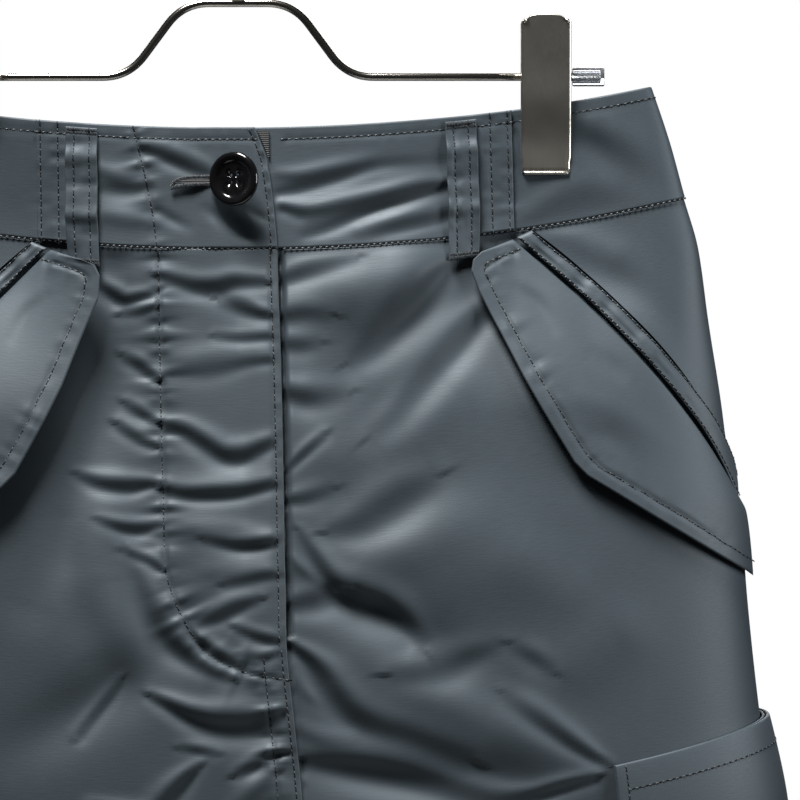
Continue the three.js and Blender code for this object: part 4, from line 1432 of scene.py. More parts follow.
RIGHT_FRONT = Relief(front=(
    # the doubled fly between its curved stitching and the edge
    Dip(((-51, 61, 3, 0.4), (-44, 63.3, 3.6, 0.7), (-36, 65.8, 4.2, 0.95), (-28, 66.2, 4.4, 0.95),
        (-20, 64.5, 4, 0.75), (-8, 65, 3.2, 0.55))),
    Dip(((-26, 72, 4, 0.25), (-17, 75.5, 4, 0.6), (-10, 78, 3.2, 0.75), (-3.5, 79, 2.6, 0.55))),
    Dip(((-28, 87, 2.6, 0.2), (-18, 88, 2.8, 0.45), (-4, 87.8, 2.6, 0.45))),
    Dip(((-51, 103.6, 3, 0.5), (-42, 102, 4, 0.4), (-30, 101, 4.5, 0.35), (-16, 98.5, 3, 0.3),
        (-4, 97.6, 2.4, 0.4))),
    Dip(((-51, 122, 3, 0.5), (-42, 126, 4, 0.9), (-34, 131, 4.6, 1.1), (-26, 136.2, 5, 1.2),
        (-18, 136.6, 5, 1.1), (-10, 133.6, 4, 0.8), (-3.5, 131, 3, 0.45))),
    Dip(((-51, 149.6, 3, 0.5), (-42, 152, 3.6, 0.85), (-30, 152.3, 3.8, 1), (-18, 151.6, 3.6, 0.85),
        (-4, 149, 3, 0.55))),
    Dip(((-34, 171.5, 3, 0.25), (-22, 174, 3.2, 0.7), (-12, 174, 3.2, 0.75), (-3.5, 172.5, 2.6, 0.45))),
    Dip(((-26, 190, 3, 0.25), (-12, 187.5, 3, 0.35), (-3.5, 187, 2.4, 0.3))),
    Dip(((-39, 206, 3.2, 0.35), (-30, 203, 4, 0.8), (-22, 199.5, 4, 0.8), (-13, 197, 3, 0.35))),
    Dip(((-41, 210.5, 2.6, 0.4), (-37, 213.5, 2.8, 0.7), (-31, 218, 3, 0.8), (-24, 221.8, 2.8, 0.6),
        (-16, 223.5, 2.4, 0.3))),
    Dip(((-22, 208.5, 2.6, 0.3), (-14, 212, 3, 0.6), (-6, 214, 3, 0.65), (-1, 214, 2.6, 0.35))),
    Dip(((-20, 219.5, 2.4, 0.25), (-12, 221, 2.6, 0.45), (-5, 219, 2.2, 0.4))),
    Crease(((-47, 96, 3.5, 0.45), (-34, 94.5, 4.5, 0.7), (-18, 93.5, 4.5, 0.7), (-3.5, 93.5, 3.5, 0.4))),
    Crease(((-50, 146, 3.5, 0.35), (-30, 146.5, 4, 0.5), (-4, 145, 3.5, 0.35))),
    Crease(((-51, 166, 3, 0.5), (-38, 166.5, 4.5, 0.9), (-24, 167.5, 4.5, 0.9), (-12, 170, 4, 0.8),
        (-3, 171, 3, 0.5))),
    Crease(((-34, 184, 4, 0.3), (-22, 184.5, 4.5, 0.8), (-12, 184, 4, 0.7), (-3, 184, 3, 0.4))),
    # below and beside the fly
    Dip(((-58, 236, 2.6, 0.4), (-50, 240, 3.6, 0.95), (-43, 243.5, 4.6, 1.3), (-34, 246.5, 6, 1.6),
        (-24, 247.5, 7, 1.7), (-14, 247, 6.5, 1.4), (-6, 244, 5, 0.9), (0, 241.5, 3, 0.5))),
    Dip(((-46, 257.5, 2.6, 0.2), (-39, 258.5, 2.6, 0.45), (-32, 260, 2.6, 0.2))),
    Dip(((-23, 268.5, 3, 0.35), (-16, 265, 3.4, 0.75), (-9.5, 261.5, 3, 0.6))),
    Dip(((-58, 284, 5, 0.8), (-50, 275.5, 4.6, 1.15), (-44, 269.5, 3.6, 0.95), (-38.5, 265, 2.2, 0.3))),
    Dip(((-88, 251, 3, 0.45), (-82, 243.5, 2.7, 0.7), (-76, 236, 2.6, 0.65), (-71, 229.5, 2.4, 0.25))),
    Dip(((-84, 281, 3, 0.5), (-70, 283.5, 3.4, 0.8), (-60, 286.5, 3.6, 0.6))),
    Dip(((-66, 177, 4, 0.2), (-61, 191, 6, 0.9), (-56, 202, 7, 1.3), (-50, 212, 6.5, 1.35),
        (-43, 219, 5, 0.95), (-35, 225, 3.6, 0.5), (-26, 229, 3, 0.3))),
    Crease(((-92.5, 163, 6, -0.4), (-91.5, 178, 7, -0.8), (-90, 190, 7, -0.6), (-86.5, 204, 8, -0.8),
        (-83, 218, 9, -0.4))),
    Crease(((-72, 188, 7, 0.3), (-70, 204, 8, 0.9), (-66, 219, 8, 0.9), (-60, 229, 7, 0.4))),
    Crease(((-25, 282, 4, 0.4), (-17, 275, 4, 1.1), (-9, 269, 3, 0.7))),
    # between the hip flap and the fly's stitching
    Dip(((-79, 62.5, 2.6, 0.4), (-72, 67.5, 3.6, 0.95), (-66, 70.5, 3.4, 0.85), (-58, 69, 2.6, 0.5),
        (-54, 67.5, 2, 0.25))),
    Dip(((-68, 76, 2.6, 0.3), (-60, 75.5, 2.6, 0.5), (-54, 74, 2, 0.35))),
    Dip(((-67, 94, 3, 0.3), (-60, 98, 3.4, 0.8), (-54, 103, 2.6, 0.5))),
    Dip(((-66, 114, 3, 0.35), (-59, 118.5, 3, 0.75), (-54, 121.5, 2.2, 0.4))),
    Dip(((-70, 122.5, 3, 0.4), (-62, 128, 3.2, 0.65), (-55, 131.5, 2.4, 0.4))),
    Dip(((-87, 143, 2.6, 0.3), (-78, 146.5, 4, 0.9), (-68, 147.8, 4.2, 1.05), (-60, 147.3, 3.2, 0.8),
        (-54, 147, 2, 0.35))),
    Dip(((-78, 162.3, 2.4, 0.25), (-70, 165, 3.2, 0.75), (-62, 165.8, 3.2, 0.8), (-54, 165, 2.2, 0.35))),
    Dip(((-69, 175, 2.2, 0.2), (-60, 178.5, 2.6, 0.5), (-53.5, 182.5, 2.2, 0.4))),
    Crease(((-72, 60, 10, -1.8), (-73, 84, 12, -3.6), (-77, 112, 13, -4.4), (-84, 140, 13, -3.4),
            (-94, 168, 12, -2.0), (-106, 196, 12, -1.0))),
    # the broad hollow along the fly's stitching
    Crease(((-54, 84, 12, -1.4), (-57, 110, 14, -2.8), (-58, 145, 15, -3.4), (-59, 180, 14, -2.6),
            (-56, 210, 11, -1.0))),
    Puckers(FLY_STITCH, 11, high=0.95, pitch=2.7, left=6.5, right=6.5, groove=0.55),
    Puckers(centre_row(-3.0, 51.4, 228), 13, high=0.95, pitch=2.8, left=8.0, right=0.3, groove=0.50),
    Puckers(centre_row(-2.3, 232, 596), 15, high=0.90, pitch=2.6, left=4.0, right=0.6, groove=0.45),
    Puckers(centre_row(-9.9, 232, 596), 17, high=1.10, pitch=2.7, left=7.0, right=4.5, groove=0.45),
), firm_edge=True, depth=1.2)

LEFT_FRONT = Relief(front=(
    Crease(tuple((a, d, 1.5, -2.2) for a, d in centre_row(0.9, 44, 212, 20.0))),
    Crease(tuple((a, d, 1.3, -0.7) for a, d in centre_row(0.9, 216, 606, 20.0))),
    Dip(((0, 63.5, 4, 0.65), (8, 61, 4.5, 0.75), (18, 58.5, 4.5, 0.5), (30, 55.5, 4, 0.2))),
    Dip(((0, 79, 5, 0.65), (9, 78, 5, 0.5), (18, 79, 5, 0.2))),
    Dip(((0, 91, 4.5, 0.55), (7, 91.5, 4.5, 0.5), (14, 91, 4, 0.15))),
    Dip(((28, 98, 5, 0.2), (36, 92.5, 8, 0.6), (42, 86, 9, 0.85), (49, 78, 9.5, 1.05), (56, 70, 9, 1.1),
        (63, 63, 7, 1), (70, 58.5, 4.5, 0.6), (76, 57, 3, 0.3))),
    Dip(((36, 130, 6, 0.2), (46, 122, 7, 0.7), (52, 114.5, 7.5, 1), (58, 107, 8, 1.1), (65, 99, 7.5, 1.1),
        (72, 91, 7, 1.05), (79, 83.5, 6, 0.95), (86, 77, 5, 0.6))),
    Dip(((0, 111, 5, 0.8), (8, 113, 6, 1), (16, 113, 6, 0.55), (25, 112, 5, 0.15))),
    Dip(((0, 143, 2.2, 0.35), (8, 136, 2.6, 0.55), (16, 129.5, 2.6, 0.25))),
    Dip(((0, 156, 3, 0.5), (8, 155, 4, 0.5), (18, 152, 4, 0.2))),
    Dip(((18, 169, 5, 0.3), (30, 166, 8, 0.95), (40, 160, 9.5, 1.3), (50, 154, 9, 1.05), (61, 148.5, 7, 0.3))),
    Dip(((5, 170, 3, 0.3), (11, 179, 4, 0.7), (16, 187, 5, 1), (22, 193, 6.5, 1.2), (30, 196.5, 7, 1.25),
        (38, 199.5, 7, 1.3), (45, 204, 6.5, 1.2), (51, 210, 5.5, 0.8), (55, 217.5, 5, 0.25))),
    Dip(((1, 199, 5, 0.7), (10, 197.5, 6, 0.9), (18, 195, 6, 0.5))),
    Crease(((1, 179, 2, 0.35), (7, 185, 2.4, 0.8), (13, 190.5, 2.2, 0.3))),
    Dip(((0.5, 216, 2.5, 0.6), (8, 222, 4, 1.1), (14, 229, 6, 1.4), (19, 237, 7, 1.5), (26, 245, 7.5, 1.4),
        (36, 250, 7, 0.9), (48, 254, 7, 0.7), (60, 259, 7, 0.6), (72, 264.5, 7, 0.5))),
    Dip(((6, 263.5, 5, 0.6), (20, 265, 6.5, 1.1), (32, 267, 7.5, 1.3), (45, 270, 8, 1.4), (58, 274, 8, 1.4),
        (70, 278.5, 7.5, 1.3), (84, 282, 6, 1.1), (98, 280.5, 4, 0.9), (112, 276.5, 3.2, 0.9),
        (124, 274, 3, 0.5))),
    Dip(((43, 229, 6, 0.35), (54, 228, 7, 0.75), (64, 226, 7.5, 0.8), (74, 222, 6, 0.55), (85, 218.5, 5, 0.15))),
    Dip(((90, 239.5, 4.5, 0.25), (100, 247, 5, 0.85), (108, 253, 4.5, 1), (116, 259, 4, 0.95),
        (124, 264.5, 3, 0.7), (130, 268, 2.4, 0.3))),
    Dip(((93, 218.5, 4, 0.15), (101, 223.5, 4.5, 0.5), (108, 229, 4, 0.2))),
    Crease(((2, 229, 2, 0.3), (7, 236, 2.4, 0.55), (11, 240, 2, 0.2))),
    Crease(((2, 249, 3, 0.3), (12, 254, 4, 0.8), (24, 255, 4, 0.4))),
    # broad, low swells
    Crease(((34, 74, 14, 1.4), (52, 62, 13, 1.2))),
    Crease(((20, 138, 13, 1.4), (44, 128, 15, 1.8), (66, 108, 12, 0.8))),
    Crease(((62, 190, 16, 1.6), (90, 184, 17, 1.8), (112, 196, 14, 1.0))),
    Crease(((84, 240, 13, -1.2), (66, 226, 13, -1.6), (50, 222, 10, -0.8))),
    Crease(((118, 226, 15, 1.2), (136, 214, 14, 1.2))),
    Puckers(centre_row(2.2, 56, 594), 19, high=0.35, pitch=3.6, left=0.4, right=7.0, groove=0.0),
), depth=1.2)

BACK_PANELS = Relief(back=(
    Crease(((4, 62, 4, 0.6), (30, 74, 6, 1.8), (58, 96, 6, 1.6), (84, 122, 6, 0.6))),
    Crease(((6, 78, 4, -0.6), (32, 92, 6, -1.8), (60, 116, 6, -1.6), (88, 142, 6, -0.4))),
    Crease(((-4, 66, 4, 0.6), (-28, 80, 6, 1.6), (-52, 106, 6, 1.4), (-72, 136, 6, 0.4))),
    Crease(((-8, 84, 4, -0.5), (-34, 100, 6, -1.6), (-60, 128, 6, -1.2), (-80, 156, 6, -0.4))),
    Crease(((-110, 70, 6, 0.5), (-92, 98, 7, 1.4), (-70, 116, 6, 0.6))),
    Crease(((118, 74, 6, 0.5), (100, 104, 7, 1.4), (82, 128, 6, 0.6))),
    Crease(((20, 220, 8, 0.4), (50, 236, 9, 1.6), (92, 244, 9, 1.2), (130, 258, 6, 0.4))),
    Crease(((16, 246, 8, -0.4), (54, 258, 9, -1.8), (98, 268, 8, -1.0))),
    Crease(((-14, 228, 8, 0.5), (-52, 240, 9, 1.6), (-96, 252, 8, 1.0))),
    Crease(((-20, 256, 8, -0.5), (-60, 270, 9, -1.6), (-104, 280, 7, -0.6))),
    Puckers(((0.9, 52), (0.9, 300), (0.9, 598)), 21, high=0.4, pitch=3.0, left=2.0, right=5.0, groove=0.3),
    Puckers(((-0.9, 52), (-0.9, 300), (-0.9, 598)), 23, high=0.4, pitch=3.0, left=5.0, right=2.0, groove=0.3),
))


@dataclass
class Panels:
    """Front panels, hip pieces and back panels, from the waist seam to the hem.

    Attributes:
        finish: The cloth.
        sewing: The skirt's rows of stitches.
        rows_upper: Usual row distance of the fronts above the cargo pockets.
        hem_inset: Distance of the hem's stitching from the hem.
        meet: How far sewn edges run into each other, in half seam gaps.
    """

    finish: Finish
    sewing: SewnRows
    rows_upper: float = 1.15
    hem_inset: float = 20.0
    meet: float = 0.6

    def front(self, handed: int) -> Piece:
        """One front panel.

        Args:
            handed: 1 for the image's right, -1 for its left.

        Returns:
            The object.
        """
        drops = spaced((51.15, 320, self.rows_upper), (320, 400, 2.4), (400, SKIRT_DROP, 4), rim=0.6)[:, None]
        places = spaced((0, 70, 1.15), (70, 150, 1.9), (150, 290, 3.0), rim=0.6)[None]
        shares = places / 290
        edge = CENTRE_EDGE(drops)
        start = edge - CENTRE_LAP if handed > 0 else edge
        begin = GARMENT.angle_at(start, drops)
        reach = np.where(drops < SIDE_START, slash_angle(drops) - GARMENT.gap_angle(drops),
                         90 + self.meet * GARMENT.side_gap(drops))
        angle = begin + (handed * reach - begin) * shares
        across = GARMENT.half_width(-drops) * np.sin(angle * DEGREE)
        lift = -CLOTH / 2 + (self.lap_lift(across, drops) if handed < 0 else 0.0)
        relief = LEFT_FRONT if handed > 0 else RIGHT_FRONT
        return cloth_piece(f"cloth_front_{HAND[handed]}", angle, drops, lift, CLOTH, relief, self.finish)

    @staticmethod
    def lap_lift(across: Array, down: Array) -> Array:
        """How far the image-left panel is raised where it laps over the other.

        Args:
            across: To the right of the centre.
            down: Below the waist edge.

        Returns:
            The lift in millimetres.
        """
        near = 1 - smoothstep(down, 52, 78)
        inside = (across - CENTRE_EDGE(down)) / (1 + 1.9 * near)
        return LAP_RISE * smoothstep(inside, -CENTRE_LAP * 2.2, -CENTRE_LAP * 0.7)

    def hip(self, handed: int) -> Piece:
        """One hip piece behind the pocket opening.

        Args:
            handed: 1 for the image's right, -1 for its left.

        Returns:
            The object.
        """
        drops = spaced((51.15, 157, 1.5), rim=0.5)[:, None]
        shares = spaced((0, 60, 1.5), rim=0.5)[None] / 60
        start = slash_angle(drops) + 0.45
        angle = handed * (start + (90 + self.meet * GARMENT.side_gap(drops) - start) * shares)
        return cloth_piece(f"cloth_hip_{HAND[handed]}", angle, drops, -CLOTH / 2, CLOTH, SIDE_RELIEF, self.finish,
                           edges="tbr", rim=0.5)

    def back(self, handed: int) -> Piece:
        """One back panel.

        Args:
            handed: 1 for the image's right, -1 for its left.

        Returns:
            The object.
        """
        drops = spaced((51.15, 320, 2.4), (320, SKIRT_DROP, 4), rim=0.6)[:, None]
        places = spaced((0, 130, 3.2), (130, 290, 2.2), rim=0.6)[None]
        start = 90 - self.meet * GARMENT.side_gap(drops)
        end = 180 + self.meet * GARMENT.gap_angle(drops)
        angle = handed * (start + (end - start) * places / 290)
        return cloth_piece(f"cloth_back_{HAND[handed]}", angle, drops, -CLOTH / 2, CLOTH, BACK_PANELS, self.finish)

    def build(self) -> None:
        cuts = {
            "front_left": (self.front(1), (0.250, 0.556), 0.116),
            "front_right": (self.front(-1), (0.242, 0.556), 0.115),
            "hip_piece_left": (self.hip(1), (0.083, 0.108), 0.0034),
            "hip_piece_right": (self.hip(-1), (0.083, 0.108), 0.0034),
            "back_left": (self.back(1), (0.242, 0.556), 0.117),
            "back_right": (self.back(-1), (0.242, 0.556), 0.117),
        }
        for node, (piece, flat, area) in cuts.items():
            dress_cloth(piece, node)
        top = Stitch.TOP
        edge_rows = [centre_row(*row) for row in ((-3.0, 51.6, 216), (-2.3, 219, 597), (-9.9, 222, 597))]
        for path in (FLY_STITCH, *edge_rows):
            self.sewing.add_seen("stitches_fly", top, path, lambda x, d: self.lap_lift(x, d) + THREAD_LIFT,
                                 RIGHT_FRONT)
        self.sewing.add_seen("stitches_fly", Stitch.TACK, ((-9.6, 220.6), (-2.2, 216.4)), 1.5, RIGHT_FRONT)
        for x in (1.9, -1.9):
            self.sewing.add_seen("stitches_back", top, ((x, 52), (x, 300), (x, 597)), PANEL_THREAD,
                                 BACK_PANELS, True)
        turn = np.linspace(-179, 179, 900)
        hem = np.full(turn.shape, SKIRT_DROP - self.hem_inset)
        self.sewing.add("stitches_hem", top, turn, hem, PANEL_THREAD, Relief())


def dress_cloth(piece: Piece, node: str) -> None:
    """Says which solid a piece of cloth stands for.

    Args:
        piece: The cloth.
        node: The solid that it replaces.
    """
    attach(piece, ROOT)
    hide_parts(node)
    LOG.info("%s stands for %s", piece.name, node)


SIDE_RELIEF = Relief(front=(
    Crease(((109.1, 45.5, 5, 0.4), (124.3, 50.0, 6, 1.0), (138.3, 56.2, 7, 0.7))),
    Crease(((126, 62, 6, -0.4), (146, 70, 7, -0.9), (160, 84, 6, -0.4))),
    Crease(((132, 76, 5, 0.3), (150, 88, 6, 0.8), (168, 112, 6, 0.3))),
), back=())


# Waistband and belt loops
BAND_STITCH_DOWN = 5.2
LAP_ROWS = (1.9, 9.4)
LAP = {1: (97.4, 88.5, 86.0, 76.0), -1: (102.2, 93.0, 90.5, 80.0)}
BAND_ROW: Points = ((-61.3, -1.2), (-58.6, 11), (-56.4, 21.4), (-54, 35), (-52.2, 50.3))


def band_rows(handed: int) -> tuple[Puckers, ...]:
    """Puckers of the band's rows on one side.

    Args:
        handed: 1 for the image's right, -1 for its left.

    Returns:
        The rows: top edge, and the two beside the lap.
    """
    seed = 40 if handed > 0 else 50
    across = np.linspace(1 if handed > 0 else 8, 168, 24)
    top = tuple((handed * a, BAND_STITCH_DOWN - float(GARMENT.rise(5.0)) * (a / 163) ** 2) for a in across)
    rows = [Puckers(top, seed, high=0.28, pitch=3.0, left=2.6, right=3.0, groove=0.3)]
    for inset in LAP_ROWS:
        a = LAP[handed][0] - inset
        rise = float(GARMENT.rise(25.0)) * (a / 168) ** 2
        rows.append(Puckers(((handed * a, 1 - rise), (handed * a, 26 - rise), (handed * a, 50 - rise)),
                            seed + int(inset) + 2, high=0.55, pitch=2.9, left=3.2, right=3.2, groove=0.3))
    return tuple(rows)


BAND = {1: Relief(front=(
    Crease(((-1.0, 19.3, 2.5, 0.5), (8.0, 19.6, 3, 1.0), (23.0, 17.0, 3.2, 0.9), (37.3, 14.3, 3, 0.3))),
    Crease(((-1.0, 28.4, 2.5, -0.9), (7.8, 27.1, 3, -1.2), (22.9, 23.0, 3.2, -1.2), (39.5, 18.1, 3, -0.9),
            (56.0, 17.0, 3, -0.6), (68.1, 16.5, 3, -0.4))),
    Crease(((0.5, 32.2, 2.5, 0.8), (12.1, 34.0, 3, 1.3), (27.2, 31.3, 3.5, 1.6), (43.8, 27.9, 3.5, 1.6),
            (57.4, 24.5, 3, 1.2), (69.4, 23.3, 2.5, 0.7))),
    Crease(((0.5, 35.2, 2.2, -0.7), (7.5, 38.4, 2.5, -0.4))),
    Crease(((10.3, 46.7, 3, -0.6), (22.4, 42.5, 3.2, -1.3), (36.1, 36.8, 3, -1.6), (49.7, 32.6, 3, -1.6),
            (61.8, 29.1, 2.8, -1.2), (70.1, 27.8, 2.5, -0.6))),
    Crease(((32.9, 44.2, 3, 0.5), (46.5, 40.0, 3, 1.1), (60.1, 36.6, 3, 0.9), (69.9, 34.5, 2.5, 0.4))),
    Crease(((40.3, 48.1, 3, -0.4), (56.9, 43.3, 3, -0.9), (69.8, 40.5, 2.5, -0.6))),
    Crease(((122.6, -1.9, 5, 0.5), (133.7, 1.9, 7, 1.1), (148.2, 9.3, 8, 1.2), (158.1, 16.6, 7, 0.4))),
    Crease(((121.8, 6.3, 5, -0.7), (131.1, 10.7, 6, -1.0), (142.2, 17.4, 7, -0.8), (153.8, 25.9, 6, -0.4))),
    Crease(((99.8, 40.6, 4, 0.4), (112.4, 32.1, 6, 1.0), (124.9, 27.0, 7, 1.0), (136.6, 27.9, 6, 0.4))),
    Crease(((126.8, 44.2, 5, -0.4), (138.6, 44.4, 7, -0.8), (150.3, 48.2, 7, -0.5))),
    *band_rows(1),
)), -1: Relief(front=(
    Crease(((-56.7, 5.5, 2.5, 0.4), (-45.5, 8.2, 3, 0.9), (-32.8, 14.1, 3, 0.7), (-26.4, 19.1, 2.5, 0.2))),
    Crease(((-57.6, 8.7, 2, -0.7), (-47.2, 13.8, 2.6, -1.2), (-36.1, 18.8, 2.6, -0.9), (-28.9, 20.6, 2, -0.3))),
    Crease(((-76.2, 15.5, 3, 0.7), (-66.6, 19.0, 4, 1.1), (-57.0, 20.0, 3, 0.6))),
    Crease(((-75.6, 25.2, 3, -0.5), (-65.2, 26.2, 3.5, -1.0), (-54.7, 25.7, 2.5, -0.5))),
    Crease(((-73.4, 34.9, 4, 0.9), (-62.2, 36.7, 4, 1.1), (-54.2, 37.7, 2.5, 0.5))),
    Crease(((-51.7, 34.6, 2, -0.6), (-46.2, 37.9, 2.4, -0.9), (-39.8, 41.3, 2.4, -0.3))),
    Crease(((-31.6, 34.2, 2.5, -0.3), (-22.1, 40.1, 3, -1.2), (-14.2, 47.5, 3, -1.1), (-11.1, 50.0, 2.5, -0.4))),
    Crease(((-19.6, 35.3, 2.5, 0.4), (-11.7, 41.1, 3, 1.1), (-6.1, 45.2, 2.5, 0.4))),
    Crease(((-15.5, 34.6, 2, -0.3), (-9.2, 37.9, 2, -0.8), (-5.2, 39.6, 2, -0.4))),
    Puckers(BAND_ROW, 31, high=0.8, pitch=2.6,
            left=4.5, right=5.0, groove=0.45),
    Puckers(centre_row(-2.6, 1, 50.5, 5), 33, high=0.7, pitch=2.6, left=4.5,
            right=0.6, groove=0.4),
    *band_rows(-1),
))}


@dataclass
class Waistband:
    """Four pieces of the waistband, lapped at the button and at the sides.

    Attributes:
        finish: The cloth.
        sewing: The skirt's rows of stitches.
        underlap: How far the image-right front reaches under the buttoned end.
    """

    finish: Finish
    sewing: SewnRows
    underlap: float = 26.0

    @staticmethod
    def up(handed: int, across: Array) -> Array:
        """How far the front band stands up over what it laps.

        Args:
            handed: 1 for the image's right, -1 for its left.
            across: Distance from the centre, towards that side.

        Returns:
            The lift in millimetres.
        """
        lap = LAP[handed]
        button = 1 - smoothstep(across, 27, 38) if handed < 0 else 0.0
        return LAP_RISE * np.maximum(button, smoothstep(across, lap[3], lap[2]))

    def front(self, handed: int) -> Piece:
        """One front piece.

        Args:
            handed: 1 for the image's right, -1 for its left.

        Returns:
            The object.
        """
        drops = spaced((0, BAND_DROP - SEAM_GAP / 2, 1.05), rim=0.8)[:, None]
        end = LAP[handed][0]
        shares = spaced((0, 110, 1.05), rim=0.8)[None] / 110
        start = np.full(drops.shape, -self.underlap) if handed > 0 else -CENTRE_EDGE(drops)
        across = start + (end - start) * shares
        angle = handed * GARMENT.angle_at(across, drops)
        lift = BAND_MIDDLE + self.up(handed, across)
        return cloth_piece(f"cloth_band_front_{HAND[handed]}", angle, drops, lift, BAND_WALL, BAND[handed],
                           self.finish, rim=0.75)

    def back(self, handed: int) -> Piece:
        """One back piece, which runs round the side to the front lap.

        Args:
            handed: 1 for the image's right, -1 for its left.

        Returns:
            The object.
        """
        under = LAP[handed][1]
        drops = spaced((0, BAND_DROP - SEAM_GAP / 2, 1.6), rim=0.8)[:, None]
        start = GARMENT.angle_at(under, drops)
        end = 180 - GARMENT.gap_angle(drops)
        shares = spaced((0, 90, 1.5), (90, 265, 2.4), rim=0.8)[None] / 265
        angle = handed * (start + (end - start) * shares)
        return cloth_piece(f"cloth_band_back_{HAND[handed]}", angle, drops, BAND_MIDDLE, BAND_WALL, BAND[handed],
                           self.finish, rim=0.75)

    def build(self) -> None:
        for hand, handed in SIDES:
            dress_cloth(self.front(handed), f"waistband_front_{hand}")
            dress_cloth(self.back(handed), f"waistband_back_{hand}")
            self.sew_side(handed)

    def sew_side(self, handed: int) -> None:
        """Sews one side's rows: both edges all round, and the lap beside the loop.

        Args:
            handed: 1 for the image's right, -1 for its left.
        """
        relief, lap, name = BAND[handed], LAP[handed], "stitches_band"
        for down, kind, here, raised, inset in ((BAND_STITCH_DOWN, Stitch.TOP, relief, 1.0, 1.5),
                                                (BAND_DROP + 0.15, Stitch.COARSE, Relief(), 0.6, 0.5)):
            start = 1.0 if handed > 0 else inset - float(CENTRE_EDGE(down))
            across = np.linspace(start, lap[0] - 0.4, 120)
            lift = BAND_OUTER + self.up(handed, across) * raised + THREAD_LIFT
            angle = GARMENT.angle_at(across, down)
            self.sewing.add(name, kind, handed * angle, np.full(120, down), lift, here)
            angle = np.linspace(float(GARMENT.angle_at(lap[0] + 0.8, down)), 179.6, 320)
            self.sewing.add(name, kind, handed * angle, np.full(320, down), BAND_OUTER + THREAD_LIFT, here)
        drops = np.linspace(0.8, 50.6, 60)
        for inset in LAP_ROWS:
            across = np.full(60, lap[0] - inset)
            lift = BAND_OUTER + self.up(handed, across) + THREAD_LIFT
            self.sewing.add(name, Stitch.TOP, handed * GARMENT.angle_at(across, drops), drops, lift, relief)
        for path in (BAND_ROW, centre_row(-2.6, 1.4, 50.2, 5)) if handed < 0 else ():
            self.sewing.add_seen(name, Stitch.TOP, path,
                                 lambda x, d: BAND_OUTER + self.up(handed, np.abs(x)) + THREAD_LIFT, relief)


@dataclass(frozen=True)
class LoopPlace:
    """Where a belt loop is sewn.

    Attributes:
        node: Its solid.
        across: Middle of the loop from the centre, seen from the front.
        back: Whether it is on the back.
    """

    node: str
    across: float
    back: bool

    def angle(self, across: Array, drop: Array) -> Array:
        """Angle of a place on the loop's side of the skirt."""
        seen = GARMENT.angle_at(across, drop)
        return 180 - seen if self.back else seen


